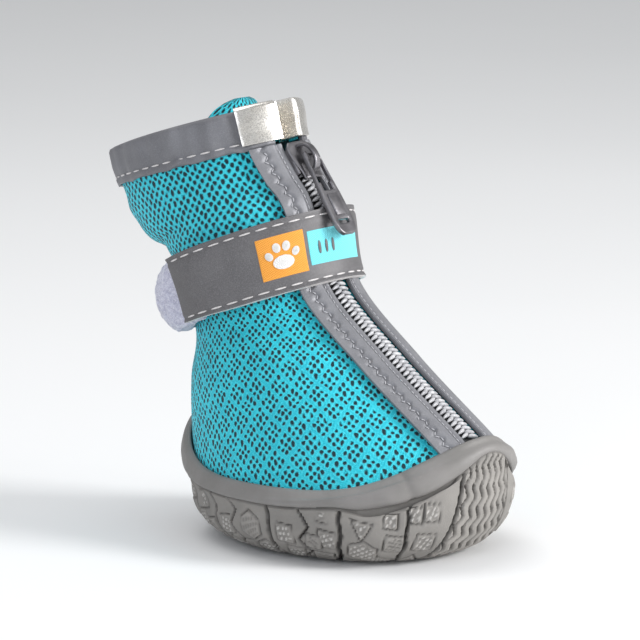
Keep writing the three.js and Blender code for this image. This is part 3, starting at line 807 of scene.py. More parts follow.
# Blocks outside the oval: degrees round from the toe, share of the way out to the rand, corner
# radius in mm, corners, kind, turn of the first corner from straight out.
BLOCKS = [
    (11, 0.37, 3.3, 3, "dimple", 0), (31, 0.40, 3.2, 3, "dimple", 180),
    (21, 0.46, 3.2, 3, "dimple", 60),
    (36, 0.51, 3.1, 3, "dimple", 0), (47, 0.47, 2.9, 4, "dots", 0), (62, 0.51, 3.0, 4, "dots", 10),
    (79, 0.54, 3.0, 4, "dots", 0), (97, 0.54, 3.0, 4, "dots", 0), (114, 0.51, 2.9, 4, "dots", 10),
    (130, 0.46, 2.8, 4, "dots", 0), (146, 0.43, 3.3, 3, "dimple", 180),
    (157, 0.52, 3.2, 3, "dimple", 0),
    (168, 0.42, 3.3, 3, "dimple", 0), (140, 0.55, 3.1, 3, "dimple", 60),
    (25, 0.60, 3.1, 3, "dimple", 0), (38, 0.64, 3.0, 4, "dots", 20),
    (48, 0.60, 3.0, 3, "dimple", 180),
    (61, 0.66, 3.0, 4, "ribs", 45), (74, 0.69, 2.9, 4, "dots", 45), (90, 0.68, 3.2, 6, "dots", 0),
    (103, 0.68, 2.8, 4, "ribs", 45), (115, 0.66, 2.9, 4, "dots", 0),
    (129, 0.62, 3.0, 4, "dots", 30),
    (148, 0.63, 3.0, 4, "dots", 0),
    (23, 0.75, 3.1, 4, "dots", 45), (34, 0.79, 2.9, 4, "ribs", 45), (45, 0.76, 3.4, 6, "dots", 0),
    (59, 0.82, 2.9, 4, "dots", 45), (65, 0.80, 2.4, 4, "ribs", 45), (78, 0.84, 3.0, 4, "dots", 45),
    (97, 0.85, 3.4, 6, "ribs", 0), (114, 0.82, 3.1, 4, "dots", 45), (127, 0.77, 2.8, 4, "ribs", 45),
    (134, 0.80, 2.9, 4, "dots", 45), (151, 0.78, 3.1, 4, "dots", 45),
    (22, 0.90, 2.6, 4, "dots", 45), (28, 0.92, 2.4, 4, "dots", 45), (36, 0.93, 2.3, 4, "dots", 45),
    (46, 0.92, 2.7, 3, "dots", 180), (61, 0.96, 1.8, 4, "dots", 45),
    (130, 0.92, 2.6, 4, "dots", 45),
    (144, 0.91, 2.6, 4, "dots", 45), (154, 0.92, 2.4, 4, "dots", 45),
]
WALL_SHARE, OUTLINE_DEPTH = 0.56, 0.62
for degrees, share, radius, corners, kind, spin in BLOCKS:
    for side in (1, -1):
        turn = math.radians(degrees)
        out = share * np.interp(degrees, rim_turns, distance[-1, :half])
        centre = (side * out * math.sin(turn), -out * math.cos(turn))
        straight_out = math.atan2(centre[1], centre[0])
        first = straight_out + side * math.radians(spin)
        outline = OUTLINE_DEPTH if share > WALL_SHARE else 0.0
        raise_block(regular(corners, radius, centre, first), kind, outline)


def zigzag(along, period):
    """A line that runs from -1 to 1 and back in each period."""
    return np.abs((along / period) % 1 * 2 - 1) * 2 - 1


# Radial grooves part the ring and the wall into panels. Two of them zigzag strongly.
RADIAL_FROM = 17.5
RADIAL_GROOVES = [
    # degrees round from the toe, width, swing
    (30, 0.7, 0.3), (54, 0.95, 0.3), (69, 0.6, 1.3), (86, 0.95, 0.2), (108, 0.6, 1.3),
    (121, 0.8, 0.3), (140, 0.8, 0.3),
]
for degrees, width, swing in RADIAL_GROOVES:
    off_line = np.radians(turn_from_toe - degrees) * out_from_middle
    miss = off_line + swing * zigzag(out_from_middle, 7.0)
    groove(np.where(out_from_middle > RADIAL_FROM, miss, FAR), width)

# The toe's grooves zigzag side by side; the heel's zigzag to and fro and leave diamonds.
for half_width, starts, at_toe in ((8.8, 24.5, True), (6.6, 26.0, False)):
    reach = -plan_y if at_toe else plan_y
    flare = half_width + 0.05 * (reach - starts)
    in_panel = (reach > starts) & (np.abs(plan_x) < flare)
    relief = np.where(in_panel, 0.0, relief)
    speckle = np.where(in_panel, 0.0, speckle)
    spacing, swing, period = (2.7, 0.75, 4.6) if at_toe else (2.0, 0.85, 4.2)
    columns = plan_x / spacing
    wave = swing * zigzag(reach, period)
    for neighbour in (-1, 0, 1):
        line = np.round(columns) + neighbour
        sign = np.where((line % 2 == 0) | at_toe, 1, -1)
        groove(np.where(in_panel, plan_x - line * spacing - sign * wave, FAR), 0.55, 0.9)
    groove(np.where(reach > starts, np.abs(plan_x) - flare, FAR), 0.8)
    groove(np.where(np.abs(plan_x) < half_width, reach - starts, FAR), 0.9)

# Under the rand the wall ends in a narrow recess; its groove value also darkens it with painted
# shade.
from_rim = distance[-1] - distance
recess = smooth(-from_rim, -0.65, -0.35)
relief = np.maximum(relief * (1 - recess), 0.7 * recess)
speckle = speckle * (1 - recess)
print("share of the sole that is lug:", round(float(np.mean(relief < 0.3)), 2))

# %% [markdown]
# The bowl, its relief and its inside become one closed piece: a grid is wrapped over all its rows,
# and its seam and its two poles are merged.

# %% Outsole
along_rows = np.gradient(outside, axis=0)
along_columns = np.gradient(outside, axis=1)
along_columns[:, 0] = along_columns[:, -1] = (outside[:, 1] - outside[:, -2]) / 2
inward = np.cross(along_columns, along_rows)
inward[0] = inward[FLAT_ROWS // 2]
inward = unit(inward) * np.sign(inward[FLAT_ROWS // 2, 0, 2])
pressed = outside + inward * (TREAD_DEPTH * relief)[..., None]
sole_rows = np.concatenate([pressed, inside])
blank = np.zeros((len(sole_rows) - len(pressed), AROUND + 1))
groove_rows = np.concatenate([relief, blank])
speckle_rows = np.concatenate([speckle, blank])
ROWS = len(sole_rows) - 1


def row_and_column(u, v):
    return np.rint(v * ROWS).astype(int), np.rint(u * AROUND).astype(int)


outsole = wrapped("tread_outsole", AROUND, ROWS, lambda u, v: sole_rows[row_and_column(u, v)])
shares_u = np.tile(np.linspace(0, 1, AROUND + 1), ROWS + 1)
shares_v = np.repeat(np.linspace(0, 1, ROWS + 1), AROUND + 1)
for name, values in (("groove", groove_rows), ("speckle", speckle_rows)):
    attribute = outsole.data.attributes.new(name, "FLOAT", "POINT")
    attribute.data.foreach_set("value", values[row_and_column(shares_u, shares_v)].ravel())
edit(outsole, merge, recalculate)
hold(outsole, "rubber", tread_rubber, "outsole", sharp=60)

# %% [markdown]
# ## Rand
# The rand is a smooth rubber band over the joint between sole and upper, round along its top. It is
# a ring with its own profile: how far up the band, and how proud of the last. Its ends meet in a
# butt joint beside the toe.

# %% Rand
RAND_PROFILE = np.array([
    # rise, proud
    (0.00, 0.3), (-0.02, 1.6), (0.00, 2.6), (0.07, 3.12), (0.20, 3.2), (0.36, 2.95), (0.52, 2.65),
    (0.68, 2.4), (0.82, 2.1), (0.93, 1.75), (1.00, 1.2), (1.03, 0.65), (1.00, 0.3), (0.5, 0.3),
    (0.00, 0.3),
])

BUTT_JOINT = math.radians(325)


def rand_place(u, v):
    rise, proud = at_row(RAND_PROFILE, v * (len(RAND_PROFILE) - 1))
    angle = u * math.tau
    # Over the zip's lower end the band peaks and swells to cover the facings.
    across = skin(level("rand top"), angle)[..., 0]
    peak = np.exp(-((across / 8.0) ** 4)) * (np.cos(angle) > 0)
    joint = np.exp(-((angle - BUTT_JOINT) * 42) ** 2)
    ripple = 0.05 * np.sin(angle * 9 + 1) + 0.04 * np.sin(angle * 23)
    full = smooth(proud, 0.4, 1.1)
    shaped = proud + full * (ripple - 0.3 * joint + 1.0 * peak * smooth(rise, 0.55, 0.9))
    low = joint_height(angle)
    high = level("rand top") + 0.002 - 0.004 * peak
    return last(low + (high - low) * rise, angle, shaped)


rand = wrapped("rand_band", 360, len(RAND_PROFILE) - 1, rand_place, (190, 12))
edit(rand, merge, recalculate)
modify(rand, "SUBSURF", levels=1, render_levels=1)
hold(rand, "rand", rand_rubber, "rand", sharp=80)

# %% [markdown]
# ## Upper
# The upper is one sheet of mesh from one edge of the zip's slot round the heel to the other. Below
# the slot the edges meet. The listed creases are soft troughs and ridges: the instep folds under
# the strap, and the shaft buckles a little above it.

# %% Upper
UPPER_WALL = 2
SLOT_HALF = 3.9
CREASES = [
    # height, angle in degrees, half length in degrees, half width as a share, depth, tilt
    (level("strap bottom", -0.30), 62, 30, 0.022, -0.75, 0.020),
    (level("strap bottom", -0.52), 58, 24, 0.020, 0.45, 0.024),
    (level("strap bottom", -0.34), 298, 30, 0.022, -0.75, -0.020),
    (level("strap bottom", -0.56), 302, 24, 0.020, 0.45, -0.024),
    (level("vamp", -0.35), 100, 34, 0.030, -0.6, -0.03),
    (level("vamp", -0.30), 262, 32, 0.030, -0.6, 0.03),
    (level("strap top", 0.55), 120, 40, 0.020, -0.7, -0.02),
    (level("strap top", 0.50), 238, 42, 0.020, -0.7, 0.02),
    (level("shaft", 0.50), 150, 34, 0.022, 0.5, -0.02),
    (level("shaft", 0.45), 206, 34, 0.022, 0.5, 0.02),
    (level("strap top", 0.30), 180, 36, 0.016, -0.6, 0.0),
]


def creased(height, angle):
    """How far the creases lift or sink the skin, in mm."""
    depth = np.zeros(np.broadcast(height, angle).shape)
    for at, degrees, long, wide, deep, tilt in CREASES:
        turn = (np.degrees(angle) - degrees + 180) % 360 - 180
        share = turn / long
        across = (height - at - tilt * share) / wide
        depth = depth + deep * np.exp(-share**2) * np.exp(-across**2)
    return depth


UPPER_BASE = level("lasting edge")
SLOT_START = level("rand top", -0.03)
UPPER_AROUND, UPPER_ROWS = 250, 130


def upper_angle(u, height):
    """The slot's edge at both ends of u, and the centre plane below the slot."""
    opening = smooth(height, SLOT_START - 0.004, SLOT_START + 0.012)
    half = front_angle(height, SLOT_HALF) * opening
    return half + u * (math.tau - 2 * half)


def upper_place(u, v):
    height = UPPER_BASE + v * (1 - UPPER_BASE)
    angle = upper_angle(u, height)
    edge = smooth(np.minimum(u, 1 - u), 0.0, 0.05)
    return last(height, angle, creased(height, angle) * edge)


upper = wrapped("mesh_upper", UPPER_AROUND, UPPER_ROWS, upper_place)
edit(upper, merge)

# The flat pattern of the two side panels, found by unfolding them from a seam at the heel.
for seam_edge in upper.data.edges:
    ends = [upper.data.vertices[index].co for index in seam_edge.vertices]
    seam_edge.use_seam = all(abs(end.x) < 2e-6 for end in ends)
edit(upper, lambda: bpy.ops.uv.unwrap(method="ANGLE_BASED", margin=0.0, correct_aspect=False))


def panel_uv(obj):
    """Scales each side panel's UV map to millimetres and lays the vamp's length along U."""
    mesh = obj.data
    loops = len(mesh.loops)
    uv = np.empty(loops * 2)
    mesh.uv_layers[0].data.foreach_get("uv", uv)
    uv = uv.reshape(-1, 2)
    vertex = np.empty(loops, dtype=int)
    mesh.loops.foreach_get("vertex_index", vertex)
    points = np.empty(len(mesh.vertices) * 3)
    mesh.vertices.foreach_get("co", points)
    points = points.reshape(-1, 3)[vertex] / MM
    corners = [face.loop_total for face in mesh.polygons]
    face_centre = np.repeat([face.center.x for face in mesh.polygons], corners)
    for side in (1, -1):
        chosen = face_centre * side > 0
        flat, solid = uv[chosen], points[chosen]
        # Distances in 3-D and in the map between neighbouring loops give the scale.
        step_flat = np.linalg.norm(np.diff(flat, axis=0), axis=1)
        step_solid = np.linalg.norm(np.diff(solid, axis=0), axis=1)
        near = step_solid < 2.0
        scale = step_solid[near].sum() / step_flat[near].sum()
        # The best-fitting turn takes the boot's Y to U and its Z to V.
        centred = (flat - flat.mean(axis=0)) * scale
        middle = solid.mean(axis=0)
        goal = np.c_[solid[:, 1] - middle[1], solid[:, 2] - middle[2]]
        left, _, right = np.linalg.svd(centred.T @ goal)
        uv[chosen] = centred @ left @ right + (middle[1], middle[2])
        print("panel", side, "scale", round(float(scale), 2))
    mesh.uv_layers[0].data.foreach_set("uv", uv.ravel())


panel_uv(upper)
upper.data.materials.append(mesh_blocks)
upper.data.materials.append(lining_cloth)
modify(
    upper, "SOLIDIFY", thickness=UPPER_WALL * MM, offset=-1, use_even_offset=True,
    material_offset=1,
)
hold(upper, "mesh", None, "upper", sharp=60)

# %% [markdown]
# ## Insole
# A cloth-covered board lies on the sole's floor with its edge turned up a little.

# %% Insole


def insole_place(u, v):
    """Rows from the middle of the underside, round the edge, to the middle of the top."""
    angle = u * math.tau
    rows = np.array([0.0, 0.25, 0.45, 0.5, 0.56, 0.8, 1.0])
    edge = last(0.0, angle, -UPPER_WALL - GAP)
    turned = last(level("lasting edge", 0.3), angle, -UPPER_WALL - GAP)
    low = SOLE_FLOOR + GAP
    ring = np.stack([edge[..., 0], edge[..., 1], np.full_like(u, low)], axis=-1)
    low_side = [ring * (share, share, 1) for share in (0.0, 0.5, 0.88)]
    top_side = [ring * (share, share, 1) + (0, 0, 2.0) for share in (0.8, 0.4, 0.0)]
    stack = np.stack(low_side + [turned] + top_side)
    row = np.clip(np.searchsorted(rows, v, side="right") - 1, 0, len(rows) - 2)
    share = ((v - rows[row]) / (rows[row + 1] - rows[row]))[:, None]
    point = np.arange(len(u))
    return stack[row, point] * (1 - share) + stack[row + 1, point] * share


insole = wrapped("insole_board", 96, 24, insole_place, (60, 40))
edit(insole, merge, recalculate)
hold(insole, "foam", board_cloth, "insole", sharp=50)

# %% [markdown]
# ## Tongue
# The tongue is a gusset of the same mesh behind the zip. It leans back into the shaft, and its
# rounded top stands above the collar.

# %% Tongue
TONGUE_INSET = UPPER_WALL + 0.4
TONGUE_THICKNESS = 1.6
TONGUE_TOP, TONGUE_DOME = 4.6, 7.0
dome_turns = np.radians([0, 15, 30, 45, 58, 70, 80])
TONGUE = np.array([
    # height, lean back, half width, rise
    (level("rand top", 0.35), 0.0, 9.0, 0.0),
    (level("vamp"), 0.0, 11.5, 0.0),
    (level("strap bottom"), 0.0, 12.0, 0.0),
    (level("strap top"), 1.0, 12.0, 0.0),
    (level("collar bottom"), 3.6, 12.0, 0.0),
] + [
    (1.0, 6.0 + 1.8 * math.sin(turn), 12.0 * math.cos(turn) ** 0.8,
     TONGUE_TOP - TONGUE_DOME * (1 - math.sin(turn)))
    for turn in dome_turns
])


def tongue_centre(place):
    """Height, lean as a vector, half width and rise at a place along the table."""
    height, lean, half_width, rise = at_row(TONGUE, place)
    to_heel = unit(skin(height, math.pi) - skin(height, 0.0))
    return height, lean[:, None] * to_heel, half_width, rise


tongue_places = np.linspace(0, len(TONGUE) - 1, 400)
height, lean, _, rise = tongue_centre(tongue_places)
tongue_run = run_along(last(height, 0.0, 0.0, rise) + lean)


def tongue_place(u, v):
    place = np.interp(v * tongue_run[-1], tongue_run, tongue_places)
    height, lean, half_width, rise = tongue_centre(place)
    across = (u * 2 - 1) * half_width
    # A little crown across, and a soft pucker along the top.
    crown = 0.5 * (1 - (u * 2 - 1) ** 2) * smooth(v, 0.45, 0.7)
    pucker = 0.2 * np.sin(u * 6) * smooth(v, 0.6, 0.75)
    angle = front_angle(height, across)
    return last(height, angle, -TONGUE_INSET + pucker * 0.4 - crown * 0.2, rise) + lean


tongue = wrapped("tongue_mesh", 40, 140, tongue_place, (24, tongue_run[-1]))
tongue.data.materials.append(mesh_blocks)
tongue.data.materials.append(tongue_edge)
thicken(tongue, TONGUE_THICKNESS, 0.4, even=False, edge_slot=1)
hold(tongue, "mesh", None, "tongue", sharp=70)

# %% [markdown]
# ## Collar binding
# A strip of reflective cloth is folded over the collar's edge and sewn through near its lower edge.
# The wall is soft, so the fold is slightly uneven and dips at each stitch.

# %% Collar binding
BINDING = 0.7
BINDING_OUT = GAP + BINDING
BINDING_IN = -UPPER_WALL - GAP - BINDING


def collar(step):
    """A height between the collar's bottom, 0, and its top, 1."""
    return level("collar bottom", step)


BINDING_PROFILE = np.array([
    # height, rise, proud: out of the lower edge and up the outside, in at the stitches
    (collar(0.02), 0, GAP), (collar(0.02), -0.1, BINDING_OUT - 0.25),
    (collar(0.02), 0.1, BINDING_OUT), (collar(0.12), 0, BINDING_OUT + 0.1),
    (collar(0.22), 0, BINDING_OUT - 0.25), (collar(0.33), 0, BINDING_OUT + 0.05),
    (collar(0.5), 0, BINDING_OUT + 0.15), (collar(0.8), 0, BINDING_OUT + 0.1),
    # over the fold
    (1, 0, BINDING_OUT), (1, 0.7, 0.75), (1, 1.05, 0.1), (1, 1.15, -1.0), (1, 1.05, -2.1),
    (1, 0.7, -2.75), (1, 0, BINDING_IN),
    # down the inside, and back round the collar's edge to the start
    (collar(0.5), 0, BINDING_IN), (collar(0.25), 0, BINDING_IN),
    (collar(0.25), 0, BINDING_IN + BINDING), (collar(0.5), 0, BINDING_IN + BINDING),
    (1, GAP, BINDING_IN + BINDING), (1, GAP, GAP), (collar(0.5), 0, GAP), (collar(0.02), 0, GAP),
])
BINDING_START = float(front_angle(1.0, SLOT_HALF + GAP))


def binding_place(u, v):
    height, rise, proud = at_row(BINDING_PROFILE, v * (len(BINDING_PROFILE) - 1))
    angle = BINDING_START + u * (math.tau - 2 * BINDING_START)
    outer = smooth(proud, 0.55, 0.9)
    ripple = outer * (0.24 * np.sin(angle * 13 + 0.6) + 0.14 * np.sin(angle * 31))
    waver = outer * (0.24 * np.sin(angle * 13) + 0.2 * np.sin(angle * 23 + 1))
    return last(height, angle, proud + ripple, rise + waver)


binding = wrapped("collar_binding_cloth", 220, len(BINDING_PROFILE) - 1, binding_place, (130, 20))
edit(binding, merge, fill_ends, recalculate)
hold(binding, "reflective", binding_cloth, "collar_binding", sharp=75)

# %% [markdown]
# ## Stitches
# One stitch is a small bead of thread, sunk at both ends. It is modelled once, and every row of
# sewing is copies of it set along a line on the last.

# %% One stitch
deselect()
bpy.ops.mesh.primitive_uv_sphere_add(segments=6, ring_count=5, radius=1)
stitch = bpy.context.object
edit(stitch, lie_along_x)
stitch_mesh = stitch.data.copy()
bpy.data.objects.remove(stitch)


def sewn(name, lines, length, space, radius):
    """Stitches along lines. A line is (points, normals), both dense arrays in mm."""
    places = []
    for points, normals in lines:
        run = run_along(points)
        count = int(run[-1] // (length + space))
        for number in range(count):
            start = space / 2 + number * (length + space)
            first, middle, final = (
                np.array([np.interp(start + part * length, run, axis) for axis in points.T])
                for part in (0, 0.5, 1)
            )
            outward = np.array([np.interp(start + length / 2, run, axis) for axis in normals.T])
            bead = (length / 2, radius, radius * 0.8)
            places.append(frame_at(middle, final - first, outward / np.linalg.norm(outward), bead))
    return copies(name, stitch_mesh, places)


def line_on_last(height, angle, proud):
    """A dense line on the last and the directions off it."""
    points = last(height, angle, proud)
    return points, last(height, angle, proud + 1.0) - points


sewing_angles = np.linspace(BINDING_START + 0.02, math.tau - BINDING_START - 0.02, 500)
collar_line = line_on_last(
    np.full_like(sewing_angles, collar(0.22)), sewing_angles, BINDING_OUT - 0.1,
)
collar_stitches = sewn("collar_stitches", [collar_line], 2.4, 0.9, 0.2)
hold(collar_stitches, "reflective", white_thread, sharp=80)

# %% [markdown]
# ## Zip facings
# A strip of pale reflective tape lies over the mesh on each side of the zip. A straight row of
# stitches holds it beside the coil and a scalloped row outside, and the tape swells between them.

# %% Zip facings
FACING_LIFT = 0.6
FACING = 0.9
FACING_INNER = 3.2
FACING_WIDTH = 5.7
FACING_LOW = level("rand top", -0.1)
FACING_HIGH = collar(0.0)
SCALLOP = 2.7


def front_run(low, high, count=400):
    """Heights up the front, and how far along the skin each is, in mm."""
    heights = np.linspace(low, high, count)
    return heights, run_along(skin(heights, 0.0))


facing_heights, facing_run = front_run(FACING_LOW, FACING_HIGH)
FACING_LONG = facing_run[-1]


def scallops(run, row):
    """How far a row of sewing is from the facing's inner edge: row 0 straight, row 1 scalloped."""
    arch = np.abs(np.sin(run * math.pi / SCALLOP)) * 0.8
    return np.full_like(run, 1.0) if row == 0 else FACING_WIDTH - 1.5 - arch


for side, name in ((1, "left"), (-1, "right")):
    def facing_place(u, v, side=side):
        run = v * FACING_LONG
        height = np.interp(run, facing_run, facing_heights)
        # Left and right are mirror images, so U runs the other way on the right.
        share = u if side == 1 else 1 - u
        out = share * FACING_WIDTH
        angle = front_angle(height, side * (FACING_INNER + out))
        near_inner = out - scallops(run, 0)
        near_outer = scallops(run, 1) - out
        swell = 0.38 * smooth(np.minimum(near_inner, near_outer), 0.0, 0.8)
        sewn_in = 0.28 * (np.exp(-(near_inner / 0.3) ** 2) + np.exp(-(near_outer / 0.3) ** 2))
        rolled = 0.15 * smooth(-near_outer, 0.4, 1.0)
        return last(height, angle, FACING_LIFT + FACING + swell - sewn_in + rolled - 0.1)

    facing = wrapped(f"zip_facing_tape_{name}", 36, 240, facing_place, (FACING_WIDTH, FACING_LONG))
    thicken(facing, FACING, 0.22)
    hold(facing, "facing", facing_cloth, f"zip_facing_{name}", sharp=60)
    sewing = []
    for row in (0, 1):
        run = np.linspace(0.5, FACING_LONG - 0.5, 1400)
        height = np.interp(run, facing_run, facing_heights)
        angle = front_angle(height, side * (FACING_INNER + scallops(run, row)))
        sewing.append(line_on_last(height, angle, FACING_LIFT + FACING - 0.18))
    thread = sewn(f"facing_stitches_{name}", sewing, 1.0, 0.25, 0.17)
    hold(thread, "facing", facing_thread, sharp=80)

# %% [markdown]
# ## Zip chain
# Under the facings runs a dark woven tape. On it lie two nylon coils, whose turns mesh like a
# herringbone. One turn is modelled and copied up both sides, half a pitch apart.

# %% Zip tape and coil
TAPE_HALF = SLOT_HALF - GAP
COIL_PITCH = 1.22
COIL_ASIDE, COIL_LIFT = 1.12, 0.3  # a turn's middle: mm off the centre plane, and off the skin
COIL_LEAN = 0.28
COIL_TURN = (1.42, 0.43, 0.55)  # half its length, width and height
tape_heights, tape_run = front_run(level("rand top", 0.03), collar(-0.2))


def tape_place(u, v):
    height = np.interp(v * tape_run[-1], tape_run, tape_heights)
    across = (u * 2 - 1) * TAPE_HALF
    cord = 0.35 * np.exp(-((np.abs(across) - 2.7) / 0.35) ** 2)
    return last(height, front_angle(height, across), -0.7 + cord)


tape = wrapped("woven_zip_tape", 24, 150, tape_place, (2 * TAPE_HALF, tape_run[-1]))
thicken(tape, 0.8, 0.15)
hold(tape, "tape", zip_cloth, "zip_tape", sharp=60)

deselect()
bpy.ops.mesh.primitive_uv_sphere_add(segments=8, ring_count=8, radius=1)
turn = bpy.context.object
edit(turn, lie_along_x)
# The turn's head is thicker than its root, and the whole turn bows up off the tape.
for vertex in turn.data.vertices:
    x, y, z = vertex.co
    thick = 1.0 + 0.28 * x
    vertex.co = (x, y * thick, z * thick + 0.35 * (1 - x * x))
turn_mesh = turn.data.copy()
bpy.data.objects.remove(turn)
coil_heights, coil_run = front_run(level("rand top", 0.05), collar(-0.24))
coil_places = []
for side, shift in ((1, 0.0), (-1, 0.5)):
    for number in range(int(coil_run[-1] / COIL_PITCH) - 1):
        run = (number + 0.5 + shift) * COIL_PITCH
        height = np.array(np.interp(run, coil_run, coil_heights))
        middle = last(height, front_angle(height, side * COIL_ASIDE), COIL_LIFT)
        outward = last(height, 0.0, 1.0) - last(height, 0.0)
        upward = skin(height + 0.002, 0.0) - skin(height - 0.002, 0.0)
        upward = upward / np.linalg.norm(upward)
        head = np.array([-side, 0.0, 0.0]) + COIL_LEAN * upward
        coil_places.append(frame_at(middle, head, outward, COIL_TURN))
coil = copies("coil_turns", turn_mesh, coil_places)
hold(coil, "coil", coil_nylon, "zip_teeth", sharp=80)

# %% [markdown]
# ## Slider, pull and clips
# The slider is a zinc casting: a plate with rounded shoulders over the coil, side flanges, and a
# crown that holds the pull. Each starts as a cube or a grid in the slider's own frame and is moved
# to its place on the zip.

# %% The slider's frame
SLIDER_AT = level("shaft", 0.34)
EYE_HEIGHT = 3.9
PULL_TURN = math.radians(3)
origin = last(SLIDER_AT, 0.0)
upward = unit(last(SLIDER_AT + 0.01, 0.0) - last(SLIDER_AT - 0.01, 0.0))
outward = np.cross((1, 0, 0), upward)
slider_place = np.eye(4)
slider_place[:3, 0] = (1, 0, 0)
slider_place[:3, 1] = upward
slider_place[:3, 2] = outward
slider_place[:3, 3] = origin
slider_matrix = Matrix(slider_place.tolist())
pull_eye = Matrix.Translation((0, 0, EYE_HEIGHT))
pull_matrix = slider_matrix @ pull_eye @ Matrix.Rotation(PULL_TURN, 4, "X")


def placed(obj, matrix):
    """Moves a mesh made in mm in a local frame to its place in metres."""
    obj.data.transform(Matrix.Scale(MM, 4) @ matrix)
    obj.data.update()


def joined(name, *parts):
    deselect()
    for part in parts:
        part.select_set(True)
    bpy.context.view_layer.objects.active = parts[0]
    bpy.ops.object.join()
    parts[0].name = name
    return parts[0]


def block(size, centre, edge, segments=3):
    """A box of that size in mm with rounded edges, its place in its mesh."""
    deselect()
    bpy.ops.mesh.primitive_cube_add(size=1)
    obj = bpy.context.object
    edit(
        obj,
        lambda: bpy.ops.transform.resize(value=size, center_override=(0, 0, 0)),
        lambda: bpy.ops.transform.translate(value=centre),
    )
    modify(obj, "BEVEL", width=edge, segments=segments)
    return obj


def local_grid(name, columns, rows, place):
    """A grid shaped in the slider's frame, still in mm."""
    return wrapped(
        name, columns, rows, lambda u, v: np.stack(np.broadcast_arrays(*place(u, v)), axis=-1) / MM,
    )


def cast(obj, thickness, edge, segments=2, even=True):
    """Gives a local grid its thickness, to both sides, and rounds its edges."""
    modify(obj, "SOLIDIFY", thickness=thickness, offset=0, use_even_offset=even)
    modify(
        obj, "BEVEL", width=edge, segments=segments, limit_method="ANGLE",
        angle_limit=math.radians(40),
    )
    return obj


# %% Slider
def plate_outline(u, v):
    """A shield: narrow at the foot, wide at the shoulders, with a notch between them."""
    y = (v - 0.5) * 9.0
    half = 2.75 + 0.95 * smooth(y, -3.4, 1.4) - 0.9 * smooth(y, 3.3, 4.6)
    crown = 0.35 * (1 - (2 * u - 1) ** 2)
    return (u * 2 - 1) * half, y, 1.7 + crown


def crown_arch(u, v):
    """A strap of metal that leaves the plate, arches over the pull's bar and comes back down."""
    turn = v * math.pi
    y = -3.3 * np.cos(turn)
    z = 1.9 + 3.35 * np.sin(turn) ** 0.8
    half = 1.05 - 0.3 * np.sin(turn)
    return (u * 2 - 1) * half, y, z


slider_parts = [
    cast(local_grid("slider_plate", 12, 18, plate_outline), 1.0, 0.3),
    cast(local_grid("slider_crown", 4, 24, crown_arch), 0.75, 0.22),
]
for side in (1, -1):
    slider_parts.append(block((0.75, 6.2, 1.7), (side * 3.2, 0.2, 1.0), 0.28))
slider = joined("zip_slider_casting", *slider_parts)
placed(slider, slider_matrix)
edit(slider, recalculate)
hold(slider, "gunmetal", dark_plate, "zip_slider", sharp=50)

# %% [markdown]
# The pull is an A-shaped plate that hangs from its bar in the slider's crown and lies over the
# strap. A grid gives the outline; its middle faces are deleted for the window, and a raised panel
# with a slot fills its lower half.

# %% Pull
PULL_LENGTH = 20
COLUMN_SHARES = [-1, -0.78, -0.54, 0, 0.54, 0.78, 1]


def pull_outline(u, v):
    """Columns and rows of the pull: legs either side of the window, then the plate."""
    y = 0.9 - v * (PULL_LENGTH + 0.1)
    wide = 2.3 + 0.8 * smooth(-y, 0.0, 14.0)
    tip = np.sqrt(np.clip(1 - (np.clip(-y - (PULL_LENGTH - 4.2), 0, 3.4) / 3.45) ** 2, 0.05, 1))
    half = wide * (0.35 + 0.65 * tip)
    columns = np.array(COLUMN_SHARES)[np.rint(u * (len(COLUMN_SHARES) - 1)).astype(int)]
    return columns * half, y, 0 * y


pull_plate = local_grid("pull_plate", len(COLUMN_SHARES) - 1, 40, pull_outline)
edit(pull_plate, lambda: bpy.ops.mesh.select_all(action="DESELECT"))
for face in pull_plate.data.polygons:
    x, y, _ = face.center
    in_window = abs(x) < 1.75 and -8.4 < y < -0.9
    in_slot = abs(x) < 1.2 and -16.6 < y < -15.6
    over_bar = abs(x) < 1.3 and y > -1.2
    face.select = in_window or in_slot or over_bar
bpy.ops.object.mode_set(mode="EDIT")
bpy.ops.mesh.delete(type="FACE")
bpy.ops.object.mode_set(mode="OBJECT")
cast(pull_plate, 1.1, 0.28, segments=3, even=False)
panel = block((3.2, 5.2, 0.5), (0, -12.2, 0.62), 0.2)
deselect()
bpy.ops.mesh.primitive_cylinder_add(vertices=20, radius=0.55, depth=3.9)
bar = bpy.context.object
edit(bar, lie_along_x)
pull = joined("zip_pull_plate", pull_plate, panel, bar)
placed(pull, pull_matrix)
edit(pull, recalculate)
hold(pull, "gunmetal", dark_plate, "zip_pull", body="pull", sharp=50)

# %% [markdown]
# Each clip is a strip of nickel-plated brass folded over the end of the binding and pinched, with
# its side bent round to cover the binding's raw end.

# %% Clips
CLIP = 0.6
CLIP_EDGE, CLIP_WIDTH = 2.9, 7.1  # mm from the centre plane, and along the collar
CLIP_OUT = BINDING_OUT + GAP
CLIP_IN = BINDING_IN - GAP
CLIP_ROOF = BINDING_OUT + GAP + CLIP
CLIP_LINE = np.array([
    # height, rise, proud: up the outside, over the fold and down the inside
    (collar(0.14), 0, CLIP_OUT + CLIP + 0.05), (collar(0.45), 0, CLIP_OUT + CLIP),
    (collar(0.8), 0, CLIP_OUT + CLIP + 0.12), (1, 0.2, CLIP_OUT + CLIP),
    (1, 1.15, CLIP_OUT + CLIP - 0.12), (1, 1.65, CLIP_OUT + 0.05),
    (1, CLIP_ROOF, CLIP_OUT - 0.5), (1, CLIP_ROOF, -1.0), (1, CLIP_ROOF, CLIP_IN + 0.5),
    (1, 1.65, CLIP_IN - 0.05), (1, 1.15, CLIP_IN - CLIP + 0.12), (1, 0.2, CLIP_IN - CLIP),
    (collar(0.14), 0, CLIP_IN - CLIP),
])
